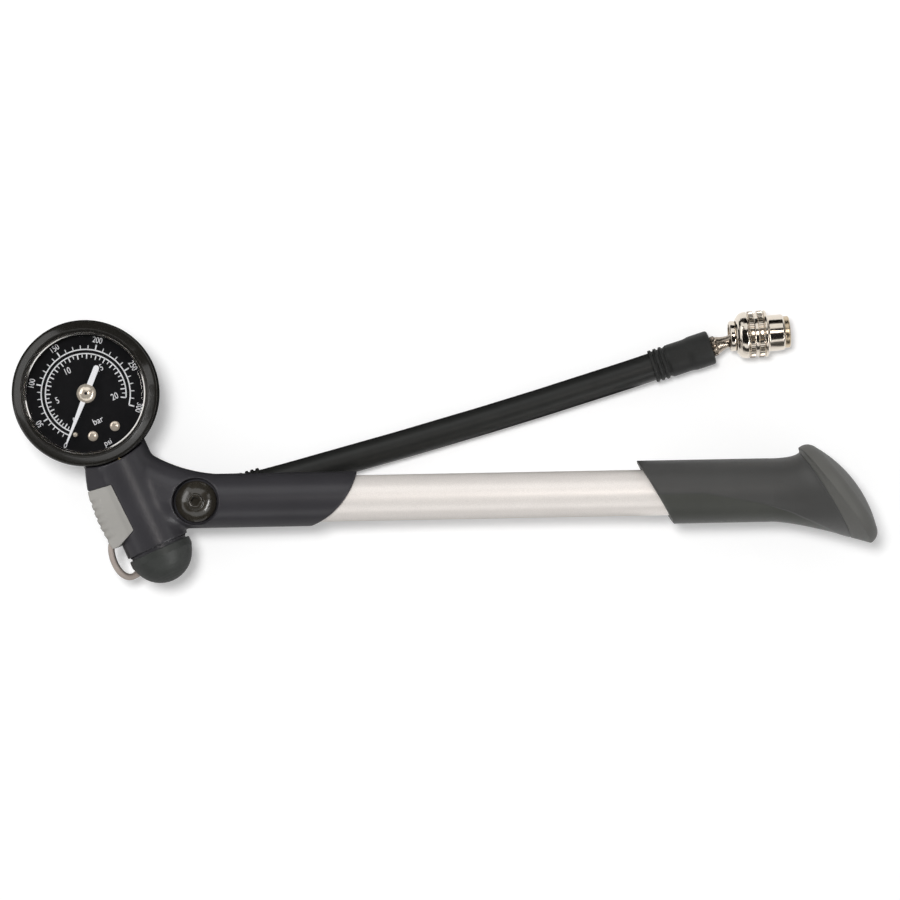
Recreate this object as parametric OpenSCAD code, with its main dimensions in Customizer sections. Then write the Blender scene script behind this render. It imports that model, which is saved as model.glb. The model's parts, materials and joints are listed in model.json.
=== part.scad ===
// Hand pump for air shocks and forks, lying on the back of its gauge.
// X runs along the barrel towards the handle, Z points out of the dial, and the origin is at the
// centre of the gauge's back. Millimetres.

/* [Layout] */
// Height of the barrel and head axes above the gauge's back
axis_h = 17.5; // [17.3:0.1:19]
// Distance from the gauge's centre across to the barrel axis
barrel_drop = 30.9; // [30:0.1:32]
// Distance from the gauge's centre along to the hose pivot
pivot_x = 30.2; // [29:0.1:32]
// Lean of the head tube from square to the barrel
head_tilt = 23.5; // [22:0.5:25]

/* [Gauge case] */
// Outside diameter of the bezel
gauge_d = 41; // [40.5:0.1:42]
// Height of the bezel's front above the barrel axis
gauge_front = 11; // [10.8:0.1:12]
// Height of the bezel
bezel_h = 7.5; // [7:0.1:7.8]
// Side wall of the bezel
bezel_wall = 0.95; // [0.8:0.05:1.1]
// Length of case that the bezel covers
bezel_lap = 2; // [1.5:0.1:2.4]
// Rounding of the bezel's front edge
bezel_round = 1.2; // [0.6:0.1:1.6]
// Diameter of the window in the bezel
window_d = 33.8; // [32:0.2:34]
// Depth of the lens below the bezel's front
lens_depth = 2.8; // [2.4:0.1:3]
// Thickness of the lens
lens_t = 1.2; // [1:0.1:1.4]
// Diameter of the gauge case below its rim
case_d = 36.4; // [36:0.1:37]
// Wall of the gauge case
case_wall = 1.5; // [1.2:0.1:1.6]
// Chamfer round the gauge's back
back_chamfer = 0.8; // [0.4:0.1:1.2]

/* [Gauge dial] */
// Thickness of the dial
dial_t = 0.6; // [0.4:0.1:0.8]
// Gap between the dial and the case wall
dial_gap = 0.3; // [0.2:0.05:0.5]
// Radius at which the dial screws sit
screw_ring = 12.1; // [11.8:0.1:12.4]
// Angle of each dial screw from the dial's bottom
screw_angle = 16.25; // [15:0.25:17]
// Diameter of a dial screw's head
screw_head_d = 2.9; // [2.4:0.1:3]
// Height of a dial screw's head
screw_head_h = 0.7; // [0.4:0.1:0.9]
// Diameter of a dial screw's shank
screw_d = 1.6; // [1.2:0.1:1.8]
// Radius at which the stop pin stands
stop_ring = 12; // [11.5:0.1:12.5]
// Angle between the stop pin and the resting pointer
stop_lead = 6.5; // [6.5:0.1:8]
// Diameter of the stop pin
stop_d = 1.4; // [1:0.1:1.5]
// Reach of the pointer's tip from its hub
pointer_reach = 15.3; // [14:0.1:16]
// Reach of the pointer's tail
pointer_tail = 8.4; // [6:0.1:10]
// Width of the pointer's tail
pointer_w = 1.6; // [1.2:0.1:2]
// Thickness of the pointer
pointer_t = 0.4; // [0.3:0.05:0.5]
// Gap between the dial and the pointer
pointer_gap = 1.2; // [1.1:0.1:1.3]
// Diameter of the pointer's hub
hub_d = 5.4; // [4:0.1:6]
// Height of the pointer's hub
hub_h = 1.1; // [0.8:0.1:1.2]
// Angle of the resting pointer from the dial's bottom, clockwise
zero_angle = 46; // [40:1:50]

/* [Gauge movement] */
// Mean radius of the bourdon tube
bourdon_r = 13; // [12.6:0.1:13.2]
// Width of the bourdon tube's flattened section
bourdon_w = 4.8; // [4:0.1:5]
// Thickness of the bourdon tube's flattened section
bourdon_t = 2.2; // [1.6:0.1:2.6]
// Height of the bourdon tube above the case's floor
bourdon_lift = 2.1; // [1.8:0.1:2.4]
// Width of the socket block
block_w = 9; // [8.6:0.1:9.4]
// Diameter of the socket's neck through the case
neck_d = 6; // [5.4:0.1:6.4]
// Diameter of the socket's stem in the head
stem_d = 9.6; // [9:0.1:10.4]
// Length of the socket's stem in the head
stem_len = 9; // [8:0.1:9.6]
// Thickness of each movement plate
plate_t = 0.8; // [0.6:0.1:1]
// Space between the movement plates
plate_space = 6; // [5.6:0.1:6.2]
// Diameter of the pointer's and the sector's arbors
arbor_d = 1.5; // [1.2:0.1:1.6]
// Gear module of the pinion and the sector
gear_module = 0.25; // [0.24:0.01:0.26]
// Teeth of the pinion
pinion_teeth = 10; // [10:1:12]
// Teeth that the sector would have as a full wheel
sector_wheel_teeth = 80; // [76:1:84]
// Thickness of the sector
sector_t = 1.2; // [0.8:0.1:1.4]
// Length of the sector's tail
tail_len = 5.5; // [5:0.1:6]

/* [Head] */
// Diameter of the head tube
head_d = 18.2; // [17.8:0.1:19]
// Length from the gauge's centre to the head's lower end
head_len = 47.4; // [47:0.1:50]
// Diameter of the sleeve round the barrel
sleeve_d = 15.3; // [14.8:0.1:15.8]
// Reach of the sleeve's long side past the pivot
sleeve_reach = 45.3; // [38:0.1:50]
// Radius of the curve that trims the sleeve's end
trim_r = 21.2; // [20:0.2:26]
// Offset of the trimming curve's centre from the barrel axis
trim_lean = 12.2; // [10:0.1:12.6]
// Radius of the web between the neck and the sleeve
web_r = 42; // [38:0.5:46]
// Reach of the web past the pivot
web_reach = 8.9; // [7:0.1:10.5]
// Diameter of the air passages in the head
gallery_d = 3.2; // [2.4:0.1:3.6]

/* [Grip pad] */
// Reach of the grip's outermost point from the head axis
grip_bulge = 12; // [11.5:0.1:13]
// Radius of the grip's bulge
grip_r = 42; // [36:0.5:50]
// Depth of the grip
grip_depth = 14.6; // [13.5:0.1:15.4]
// Distance from the gauge's centre to the pad's top
pad_top = 24.8; // [24:0.1:26]
// Length of the pad
pad_len = 18.1; // [16:0.1:18.4]
// Thickness of the pad where it wraps the tube
pad_t = 0.7; // [0.5:0.05:1]
// Height of the pad's face above the tube
pad_proud = 0.2; // [0.1:0.05:0.4]
// Ribs across the pad's edge
pad_ribs = 10; // [6:1:12]
// Spacing of the ribs
rib_pitch = 1.1; // [1:0.05:1.2]
// Thickness of the lanyard loop
loop_t = 1.4; // [1.2:0.1:1.6]
// Width of the lanyard loop
loop_w = 4; // [3.4:0.1:4.4]

/* [Bleed valve] */
// Diameter of the bleed button's rim
button_d = 18.2; // [17:0.1:18.6]
// Height of the bleed button's dome
button_h = 9.7; // [9:0.1:12]
// Taper of the dome's side
button_taper = 22; // [16:0.5:24]
// Seam between the head and the button
button_gap = 0.8; // [0.8:0.05:1.2]
// Diameter of the button's skirt inside the head
skirt_d = 12.8; // [11:0.1:14]
// Length of the button's skirt
skirt_len = 3.4; // [2.8:0.1:3.6]
// Diameter of the bleed pin
bleed_pin_d = 1.6; // [1.2:0.1:1.8]
// Diameter of the bleed seat
seat_d = 6; // [5.4:0.1:6.4]
// Length of the bleed seat
seat_len = 4; // [3.4:0.1:4.2]

/* [Hose pivot] */
// Diameter of the pivot bolt's shank
bolt_d = 6; // [5.4:0.1:6.4]
// Diameter of the pivot bolt's head
bolt_head_d = 11.6; // [10.6:0.1:12]
// Diameter of the recess round the bolt's head
recess_d = 13.1; // [12.6:0.1:13.4]
// Height of the recess's floor above the barrel axis
recess_floor = 2.6; // [2.2:0.1:3]
// Height of the bolt's head
bolt_head_h = 5.5; // [4.6:0.1:6]
// Diameter of the collar round the bolt's socket
collar_d = 4.4; // [4:0.1:5]
// Width across the bolt's hexagonal socket
key_w = 2.6; // [2:0.1:3]
// Diameter of the elbow's hub
elbow_d = 13.2; // [12.6:0.1:13.8]
// Diameter of the elbow's barb
barb_d = 6.4; // [5.6:0.1:6.8]
// Width across the nut's flats
nut_w = 8; // [7.6:0.1:8.2]
// Height of the nut
nut_h = 2.4; // [2:0.1:2.6]
// Thickness of the washer under the head
washer_t = 0.9; // [0.7:0.1:1.1]

/* [Hose] */
// Diameter of the hose
hose_d = 8; // [7.4:0.1:8.4]
// Diameter of the ferrules
ferrule_d = 9.4; // [9:0.1:9.6]
// Height of the collar at the front ferrule's end
ferrule_collar = 0.25; // [0.1:0.05:0.4]
// Length of the front ferrule
ferrule_len = 17.8; // [16:0.2:20]
// Rings round each ferrule
ferrule_rings = 3; // [2:1:4]
// Spacing of the ferrule's rings
ring_pitch = 1.55; // [1.4:0.05:1.7]
// Depth of the grooves between the rings
ring_depth = 0.4; // [0.2:0.05:0.5]
// Length of the coupler's stem, from the ferrule to its bulb
coupler_stem_len = 10.9; // [10.6:0.1:12]
// Diameter of the coupler's stem
coupler_stem_d = 3.4; // [3:0.1:3.6]
// Diameter of the ring where the stem leaves the ferrule
stem_ring_d = 5.6; // [5:0.1:6.4]
// Diameter of the bulb on the stem's end
bulb_d = 7.8; // [7.6:0.1:8]

/* [Coupler] */
// Turn of the coupler from the barrel's direction
coupler_tilt = 3.5; // [2:0.5:6]
// Diameter over the knurl
knurl_d = 13.4; // [12.6:0.1:13.5]
// Grooves round the knurl
knurl_grooves = 24; // [12:1:30]
// Diameter of the coupler's nose
nose_d = 10.4; // [9.8:0.1:11]
// Diameter of the coupler's mouth ring
mouth_ring_d = 9.1; // [8.9:0.1:9.6]
// Reach of the coupler's mouth past the bulb's centre
mouth_reach = 11.9; // [11.6:0.1:13]
// Diameter of the socket for the shock's valve
valve_socket_d = 7.8; // [7.7:0.05:8]
// Length of the socket for the shock's valve
valve_socket_len = 6.2; // [6:0.1:6.4]
// Diameter of the coupler's rear cap
cap_d = 8.7; // [8.6:0.1:9.4]
// Thickness of the coupler's rear cap
cap_t = 2; // [1.6:0.1:2]
// Diameter of the hole in the rear cap
cap_hole_d = 7; // [6.9:0.05:7.2]

/* [Barrel] */
// Outside diameter of the barrel
barrel_d = 13; // [12.6:0.1:13.2]
// Bore of the barrel
barrel_bore = 10.6; // [10:0.1:10.8]
// Length of the barrel
barrel_len = 149; // [140:1:180]
// Distance from the pivot to the barrel's end
barrel_in = 10.3; // [9.8:0.1:11.4]
// Thickness of the seal at the barrel's end
barrel_seal_t = 1; // [0.8:0.1:1.2]
// Length of the check valve's body
check_len = 9.8; // [9:0.1:10.4]
// Diameter of the check ball
ball_d = 4.4; // [4:0.1:4.6]
// Diameter of the check valve's seat
check_seat_d = 2.6; // [2:0.1:2.8]
// Length of the rod guide in the barrel
guide_len = 12; // [9:0.1:14]
// Thickness of the rod guide's flange
guide_flange = 1.5; // [1.2:0.1:2]

/* [Piston] */
// Diameter of the rod
rod_d = 6; // [5.4:0.1:6.4]
// Gap between the check valve and the resting piston
piston_gap = 2; // [1.5:0.1:3]
// Length of the piston
piston_len = 9; // [8:0.1:12]
// Width of the piston seal
piston_seal_w = 1.8; // [1.2:0.1:2.4]
// Depth of the piston seal's groove
piston_groove = 1.2; // [0.8:0.1:1.4]
// Length of the top-out bumper
bumper_len = 4; // [3:0.1:5]

/* [Handle] */
// Diameter of the handle's sleeve
grip_d = 18.2; // [17.4:0.1:19]
// Overlap of the handle's sleeve on the barrel, at its centre line
handle_lap = 30; // [24:0.5:40]
// Slant of the sleeve's end
handle_cut = 29.8; // [20:0.2:36]
// Gap between the sleeve's bore and the barrel
handle_clear = 0.3; // [0.25:0.05:0.5]
// Thickness of the bottom-out bumper
bottom_bumper_t = 1.3; // [1:0.1:2]
// Depth of the rod's seat in the handle
rod_seat = 5.6; // [5:0.1:7]
// Thickness of handle under the screw's head
screw_web = 3.2; // [2.8:0.1:4]
// Diameter of the handle screw's shank
handle_screw_d = 3; // [2.4:0.1:3.4]
// Diameter of the handle screw's head
handle_screw_head_d = 6.4; // [5.4:0.1:6.8]
// Radius of the palm rest
palm_r = 16.9; // [15.5:0.1:17.2]
// Tilt of the palm rest
palm_tilt = 36; // [33:0.5:39]
// Reach of the palm rest's centre past the start of the flare
palm_reach = 18.7; // [17.6:0.1:20]
// Offset of the palm rest's centre from the barrel axis
palm_drop = 1.7; // [0.8:0.1:2.4]
// Radius of the palm rest's face
palm_face_r = 36; // [30:0.5:45]
// Height of the palm rest's rim
palm_rim = 2.7; // [2.2:0.1:3.2]
// Tilt of the seam between the handle and the palm pad
pad_seam_tilt = 30.2; // [28:0.2:32]
// Distance from the start of the flare to the palm pad's seam
pad_seam = 14.9; // [14.6:0.1:15.8]

/* [Hidden] */
$fn = 64;
// Radial clearance of a shaft that runs in a bore
run_fit = 0.05;
// Clearance between pieces that are pressed or bonded together
bond_fit = 0.02;
// Gap between pieces that move past each other
move_gap = 0.3;
// Overshoot of a cutting tool past the face that it leaves
past = 1;

bezel_r = gauge_d / 2;
case_r = case_d / 2;
case_in_r = case_r - case_wall;
rim_r = bezel_r - bezel_wall - run_fit;
rim_in_r = rim_r - case_wall;
window_r = window_d / 2;
gauge_depth = axis_h + gauge_front;
bezel_z = gauge_depth - bezel_h;
case_top = bezel_z + bezel_lap;
lens_top = gauge_depth - lens_depth;
lens_z = lens_top - lens_t;
lens_r = rim_r - 0.8;
neck_r = neck_d / 2;
dial_z = axis_h + neck_r + 0.1;
dial_top = dial_z + dial_t;
rim_z = dial_z - 1.6;
rim_rise = rim_r - case_r;
pointer_z = dial_top + pointer_gap;
hub_z = pointer_z + pointer_t;

// The movement stands on a shelf of the socket block, and is set out below the dial
movement_z = dial_z - 11.2;
top_plate_z = movement_z + plate_t + plate_space;
sector_z = movement_z + plate_t + 2.2;
link_z = sector_z + sector_t + 0.2;
link_t = 0.6;
hairspring_z = top_plate_z - 1.5;
hairspring_h = 1;
block_out = sqrt(pow(case_in_r - 0.12, 2) - pow(block_w / 2, 2));
block_in = screw_ring * cos(screw_angle) - 1.1;
shelf_in = block_in - 3.6;
block_z = case_wall + 1.5;
arbor_r = arbor_d / 2;
pinion_r = pinion_teeth * gear_module / 2;
sector_r = sector_wheel_teeth * gear_module / 2;
sector_side = 10;
sector_at = (pinion_r + sector_r) * [cos(sector_side), sin(sector_side)];
tail_at = sector_at + [0, -tail_len];
tip_angle = -40;
tip_at = bourdon_r * [cos(tip_angle), sin(tip_angle)];
pin_r = 0.6;
pillar_r = 0.9;
foot_at = [3, -(block_in + shelf_in) / 2];
crown_at = sector_at + [0, 5.2];
tooth_pitch = PI * gear_module;
sector_sweep = 33;

head_r = head_d / 2;
sleeve_r = sleeve_d / 2;
corner_a = barrel_drop / cos(head_tilt);
corner_u = corner_a * sin(head_tilt) - pivot_x;
saddle_gap = 0.1;
stem_r = stem_d / 2;
stem_start = bezel_r + move_gap;
stem_end = stem_start + stem_len;
gallery_r = gallery_d / 2;
// The bleed seat presses in below the passage from the barrel, and the socket's seal fills the space above
seat_start = corner_a + gallery_r + 0.2;
seal_end = corner_a - gallery_r - 0.2;
seat_r = seat_d / 2;
skirt_r = skirt_d / 2;
button_start = head_len + button_gap;
skirt_end = button_start - skirt_len;
// A spigot on the head's lower end reaches into the button's rim, and fills the seam
spigot_r = head_r - 0.8;
spigot_len = 1.2;
button_side = 2;
button_floor = skirt_end - button_gap;
button_tip = button_start + button_h;
bleed_pin_r = bleed_pin_d / 2;
poppet_r = gallery_r - 0.4;
poppet_t = 0.8;
spring_wire = 0.6;

pad_end = pad_top + pad_len;
grip_mid = (pad_top + pad_end) / 2 + 0.9;
// The pad's inner edge from the head axis, and how far its top slants down towards that edge
pad_edge = 0.45 * head_r;
pad_slant = 1.5;
pad_core_r = head_r + pad_proud - pad_t;

sleeve_low = axis_h - sleeve_r;
boss_z = sleeve_low + 0.05;
washer_z = sleeve_low - 0.1;
elbow_top = washer_z - move_gap;
elbow_r = elbow_d / 2;
bolt_r = bolt_d / 2;
recess_z = axis_h + recess_floor;
elbow_low = 0.9;
nut_low = 0.4;
nut_corner_r = nut_w / sqrt(3);
nut_seat = nut_low + nut_h + move_gap;
bolt_low = nut_low + 0.4;

// The hose's route from the pivot: along the barrel, across it, and up from the table
HOSE_ROUTE = [
    [17.8, 4.5, 4.8], [25.8, 6.5, 4.8], [33.8, 8.6, 4.8], [41.8, 10.7, 4.8], [49.8, 12.8, 4.8],
    [57.8, 14.9, 4.8], [65.8, 17.1, 4.8], [73.8, 19.3, 4.9], [81.8, 21.5, 5], [89.8, 23.8, 5.1],
    [97.8, 26.1, 5.3], [105.8, 28.5, 5.5], [113.8, 30.9, 5.7], [121.8, 33.3, 5.9], [129.8, 35.8, 6.1],
];
route_last = len(HOSE_ROUTE) - 1;
hose_z = HOSE_ROUTE[0][2];
hose_start = [0, 0, hose_z];
start_dir = unit(HOSE_ROUTE[0] - hose_start);
start_len = norm(HOSE_ROUTE[0] - hose_start);
end_dir = unit(HOSE_ROUTE[route_last] - HOSE_ROUTE[route_last - 1]);
ferrule_end = HOSE_ROUTE[route_last] + ferrule_len * end_dir;
bulb_at = ferrule_end + coupler_stem_len * end_dir;
ferrule_r = ferrule_d / 2;
barb_r = barb_d / 2;
barb_end = start_len - 0.5;
rear_ferrule_start = elbow_r + 0.3;
stem_barb_r = 2.4;
bulb_r = bulb_d / 2;
bulb_face = 3.2;
seal_face = bulb_face + 2;
socket_floor = mouth_reach - valve_socket_len;
knurl_r = knurl_d / 2;
nose_r = nose_d / 2;
cap_r = cap_d / 2;
cavity_r = bulb_r + 0.4;
// The coupler's stations along its own axis, from the bulb's centre
cap_start = -5.35;
cap_end = cap_start + cap_t;
flange_end = 0;
band_w = 2.1;
band_gap = 0.9;
knurl_end = flange_end + 2 * band_w + band_gap;
mouth_ring_len = 1.4;

barrel_r = barrel_d / 2;
bore_r = barrel_bore / 2;
barrel_end = barrel_in + barrel_len;
check_end = barrel_in + check_len;
ball_r = ball_d / 2;
check_seat_r = check_seat_d / 2;
check_chamber_r = ball_r + 0.4;
check_seat_u = check_end - 2.3;
ball_u = check_seat_u - sqrt(ball_r * ball_r - check_seat_r * check_seat_r) - 0.05;
rod_r = rod_d / 2;
piston_r = bore_r - run_fit;
piston_start = check_end + piston_gap;
piston_end = piston_start + piston_len;
rod_start = piston_start + 1;
guide_start = barrel_end - guide_len;
guide_end = barrel_end + guide_flange;
rod_seal_w = 2.4;
rod_seal_r = rod_r + 1.2;

grip_radius = grip_d / 2;
handle_floor = guide_end + 0.4 + bottom_bumper_t;
handle_start = barrel_end - handle_lap;
rod_end = handle_floor + rod_seat;
screw_seat = rod_end + screw_web;
flare_u = handle_floor - 1.2;
palm_c = [flare_u + palm_reach, -palm_drop];
palm_normal = [cos(palm_tilt), sin(palm_tilt)];
palm_across = [-sin(palm_tilt), cos(palm_tilt)];
palm_rim_r = palm_r - 0.4;

function unit(v) = v / norm(v);

// A point of the quadratic curve from p to r that is drawn towards q
function curve2(p, q, r, t) = (1 - t) * (1 - t) * p + 2 * t * (1 - t) * q + t * t * r;

// A point of the cubic curve from p to s that is drawn towards q and r
function curve3(p, q, r, s, t) =
    pow(1 - t, 3) * p + 3 * t * pow(1 - t, 2) * q + 3 * t * t * (1 - t) * r + pow(t, 3) * s;

// Points of an arc round c, for an outline
function arc(c, r, from, to, steps) =
    [for (i = [0 : steps]) c + r * [cos(from + (to - from) * i / steps), sin(from + (to - from) * i / steps)]];

// The direction of a route at point i
function heading(route, i) =
    unit(route[min(i + 1, len(route) - 1)] - route[max(i - 1, 0)]);

// A ring of points square to dir, round c
function ring(c, dir, r, sides) =
    let (side = unit(cross([0, 0, 1], dir)), up = cross(dir, side))
    [for (j = [0 : sides - 1]) c + r * (cos(360 * j / sides) * side + sin(360 * j / sides) * up)];

// A closed solid through rings of points
module skin(rings) {
    n = len(rings);
    m = len(rings[0]);
    last = (n - 1) * m;
    polyhedron(
        points = [for (r = rings) each r],
        faces = concat(
            [for (j = [1 : m - 2]) [0, j, j + 1]],
            [for (i = [0 : n - 2], j = [0 : m - 1])
                each let (k = (j + 1) % m, p = i * m, q = p + m)
                [[p + j, q + j, p + k], [p + k, q + j, q + k]]],
            [for (j = [1 : m - 2]) [last, last + j + 1, last + j]]
        )
    );
}

// Along the head axis, from the gauge's centre: X across the tube, Y up, Z down the tube
module at_head(a) {
    translate([0, 0, axis_h]) rotate([0, 0, head_tilt]) rotate([90, 0, 0]) translate([0, 0, a]) children();
}

// A flat outline in the head's plane: X across the tube, -Y down the tube
module head_plate(z, h) {
    translate([0, 0, z]) rotate([0, 0, head_tilt]) linear_extrude(h) children();
}

// Along the barrel axis, from the pivot: Z towards the handle
module at_barrel(u) {
    translate([pivot_x + u, -barrel_drop, axis_h]) rotate([0, 90, 0]) children();
}

// The pivot, on the table
module at_pivot() {
    translate([pivot_x, -barrel_drop, 0]) children();
}

// A point of the hose's run, with Z along dir
module at_hose(p, dir) {
    at_pivot() translate(p) rotate([0, acos(dir[2]), atan2(dir[1], dir[0])]) children();
}

// Along the coupler's axis, from the bulb's centre
module at_coupler(c) {
    at_pivot() translate(bulb_at) rotate([0, 90, coupler_tilt]) translate([0, 0, c]) children();
}

module tube(r, hole, h) {
    difference() {
        cylinder(r = r, h = h);
        translate([0, 0, -past]) cylinder(r = hole, h = h + 2 * past);
    }
}

// A flat bar between two bosses
module bar(p, q, w, boss) {
    along = q - p;
    translate(p) rotate(atan2(along[1], along[0])) translate([0, -w / 2]) square([norm(along), w]);
    for (c = [p, q]) translate(c) circle(r = boss);
}

// A coil spring along Z from low to high, of n turns
module coil_spring(r, wire, low, high, n) {
    steps = 8 * n;
    rise = high - low - wire;
    path = [for (i = [0 : steps])
        [r * cos(45 * i), r * sin(45 * i), low + wire / 2 + rise * i / steps]];
    skin([for (i = [0 : steps]) ring(path[i], heading(path, i), wire / 2, 6)]);
}

// Gauge

module gauge_case() {
    color("#1d1d1f") difference() {
        rotate_extrude() polygon([
            [0, 0], [case_r - back_chamfer, 0], [case_r, back_chamfer], [case_r, rim_z - rim_rise],
            [rim_r, rim_z], [rim_r, case_top], [rim_in_r, case_top], [rim_in_r, rim_z + 0.6],
            [case_in_r, rim_z + 0.6 - rim_rise], [case_in_r, case_wall], [0, case_wall],
        ]);
        at_head(case_in_r - past) cylinder(r = neck_r + run_fit, h = rim_r - case_in_r + 2 * past);
    }
}

module gauge_bezel() {
    groove_r = bezel_r - bezel_round - 0.9;
    color("#111112") rotate_extrude() polygon(concat(
        [[rim_r + run_fit, bezel_z], [bezel_r - 0.4, bezel_z], [bezel_r, bezel_z + 0.4]],
        arc([bezel_r - bezel_round, gauge_depth - bezel_round], bezel_round, 0, 110, 8),
        [
            [groove_r + 0.2, gauge_depth - 0.6], [groove_r, gauge_depth - 0.6],
            [groove_r - 0.2, gauge_depth - 0.3], [groove_r - 0.5, gauge_depth - 0.5],
            [window_r, lens_top], [rim_r + run_fit, lens_top],
        ]
    ));
}

module gauge_lens() {
    color("#dfe8ea", 0.3) translate([0, 0, lens_z]) cylinder(r = lens_r, h = lens_t);
}

module lens_gasket() {
    color("#0c0c0c") translate([0, 0, case_top]) tube(rim_r - bond_fit, window_r + 0.2, lens_z - case_top);
}

// Dial screws, stop pin and pointer stand at these angles clockwise from the dial's bottom
module at_dial(angle, r) {
    rotate([0, 0, head_tilt - angle]) translate([0, -r, 0]) children();
}

module gauge_dial() {
    color("#0e0e10") difference() {
        translate([0, 0, dial_z]) cylinder(r = rim_in_r - dial_gap, h = dial_t);
        translate([0, 0, dial_z - past]) {
            cylinder(r = arbor_r + 0.8, h = dial_t + 2 * past);
            for (side = [-1, 1]) at_dial(side * screw_angle, screw_ring)
                cylinder(d = screw_d + 2 * bond_fit, h = dial_t + 2 * past);
            at_dial(zero_angle - stop_lead, stop_ring)
                cylinder(d = stop_d + 2 * bond_fit, h = dial_t + 2 * past);
        }
    }
}

module dial_screws() {
    color("#c9c2b4") for (side = [-1, 1]) at_dial(side * screw_angle, screw_ring) {
        translate([0, 0, dial_z - 3]) cylinder(d = screw_d, h = 3 + dial_t);
        difference() {
            translate([0, 0, dial_top]) cylinder(d = screw_head_d, h = screw_head_h);
            translate([-screw_head_d, -0.2, dial_top + screw_head_h / 2])
                cube([2 * screw_head_d, 0.4, screw_head_h]);
        }
    }
}

module pointer_stop_pin() {
    color("#b9b3a6") at_dial(zero_angle - stop_lead, stop_ring)
        translate([0, 0, dial_z - 0.6]) cylinder(d = stop_d, h = hub_z + 0.3 - dial_z + 0.6);
}

module gauge_socket() {
    color("#b08d4a") difference() {
        union() {
            head_plate(block_z, dial_z - block_z)
                translate([-block_w / 2, -block_out]) square([block_w, block_out - block_in]);
            head_plate(block_z, movement_z - block_z)
                translate([-block_w / 2, -block_in - past]) square([block_w, block_in + past - shelf_in]);
            at_head(block_out - past) cylinder(r = neck_r, h = stem_start + past - block_out + past);
            at_head(stem_start) cylinder(r = stem_r - run_fit, h = stem_len);
        }
        at_head(block_in + 2) cylinder(r = 1.4, h = stem_end);
        for (side = [-1, 1]) at_dial(side * screw_angle, screw_ring)
            translate([0, 0, dial_z - 3.2]) cylinder(d = screw_d + 2 * bond_fit, h = 3.2 + past);
    }
}

module socket_seal() {
    color("#202020") at_head(stem_end) tube(stem_r - run_fit, gallery_r, seal_end - stem_end);
}

module bourdon_tube() {
    low = case_wall + bourdon_lift;
    root = 270 - asin(block_w / 2 / bourdon_r) + 1;
    color("#b5893c") rotate([0, 0, head_tilt]) {
        rotate([0, 0, tip_angle]) rotate_extrude(angle = root - tip_angle)
            translate([bourdon_r - bourdon_t / 2, low]) square([bourdon_t, bourdon_w]);
        translate([tip_at[0], tip_at[1], low]) cylinder(r = bourdon_t / 2 + 0.5, h = bourdon_w + 0.4);
        translate([tip_at[0], tip_at[1], low]) cylinder(r = pin_r, h = link_z + link_t + 0.3 - low);
    }
}

module movement_plate() {
    difference() {
        union() {
            bar([0, 0], sector_at, 3, 2.4);
            for (side = [-1, 1]) bar([0, 0], [side * foot_at[0], foot_at[1]], 2, 1.4);
            bar(sector_at, crown_at, 2, 1.4);
        }
        circle(r = arbor_r + run_fit);
        translate(sector_at) circle(r = arbor_r + run_fit);
    }
}

module movement_frame() {
    color("#c2a35a") rotate([0, 0, head_tilt]) {
        for (z = [movement_z, top_plate_z]) translate([0, 0, z]) linear_extrude(plate_t) movement_plate();
        for (p = [[-foot_at[0], foot_at[1]], foot_at, crown_at])
            translate([p[0], p[1], movement_z]) cylinder(r = pillar_r, h = top_plate_z + plate_t - movement_z);
    }
}

// One straight-sided gear tooth, pointing along X from the wheel's centre
module tooth(pitch_r) {
    root = pitch_r - 1.1 * gear_module;
    tip = pitch_r + 0.8 * gear_module;
    polygon([
        [root - 0.2, -0.27 * tooth_pitch], [tip, -0.1 * tooth_pitch],
        [tip, 0.1 * tooth_pitch], [root - 0.2, 0.27 * tooth_pitch],
    ]);
}

module sector_gear() {
    root = sector_r - 1.1 * gear_module;
    step = 360 / sector_wheel_teeth;
    facing = 180 + sector_side;
    behind = ceil((sector_sweep + 6) / step);
    ahead = 2;
    from = facing - (behind + 0.5) * step;
    to = facing + (ahead + 0.5) * step;
    color("#c9a54e") rotate([0, 0, head_tilt]) translate([sector_at[0], sector_at[1], 0]) {
        translate([0, 0, sector_z]) linear_extrude(sector_t) {
            polygon(concat(arc([0, 0], root, from, to, 16), arc([0, 0], root - 1.4, to, from, 16)));
            for (i = [-behind : ahead]) rotate(facing + i * step) tooth(sector_r);
            for (angle = [from + step, to - step])
                bar([0, 0], (root - 0.7) * [cos(angle), sin(angle)], 1, 0.65);
            bar([0, 0], tail_at - sector_at, 1.4, 1.1);
            circle(r = 1.8);
        }
        translate([0, 0, movement_z + 0.1]) cylinder(r = arbor_r, h = top_plate_z + plate_t - movement_z - 0.2);
        translate([0, -tail_len, sector_z]) cylinder(r = pin_r, h = sector_t + link_t + 0.5);
    }
}

module sector_link() {
    color("#9a8f80") rotate([0, 0, head_tilt]) translate([0, 0, link_z]) linear_extrude(link_t) difference() {
        bar(tail_at, tip_at, 1.2, 1.2);
        for (p = [tail_at, tip_at]) translate(p) circle(r = pin_r + run_fit);
    }
}

module hairspring() {
    inner_r = arbor_r + 0.35;
    turn_gap = 0.8;
    turns = 4;
    steps = 24 * turns;
    ribbon = 0.16;
    spiral = [for (i = [0 : steps]) [inner_r + turn_gap * i / 24, 15 * i]];
    color("#a8a8ac") rotate([0, 0, head_tilt]) {
        translate([0, 0, hairspring_z]) linear_extrude(hairspring_h) polygon(concat(
            [for (p = spiral) (p[0] + ribbon) * [cos(p[1]), sin(p[1])]],
            [for (i = [steps : -1 : 0]) spiral[i][0] * [cos(spiral[i][1]), sin(spiral[i][1])]]
        ));
        translate([inner_r + turn_gap * turns + ribbon / 2, 0, hairspring_z])
            cylinder(r = 0.4, h = top_plate_z - hairspring_z);
    }
}

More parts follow.
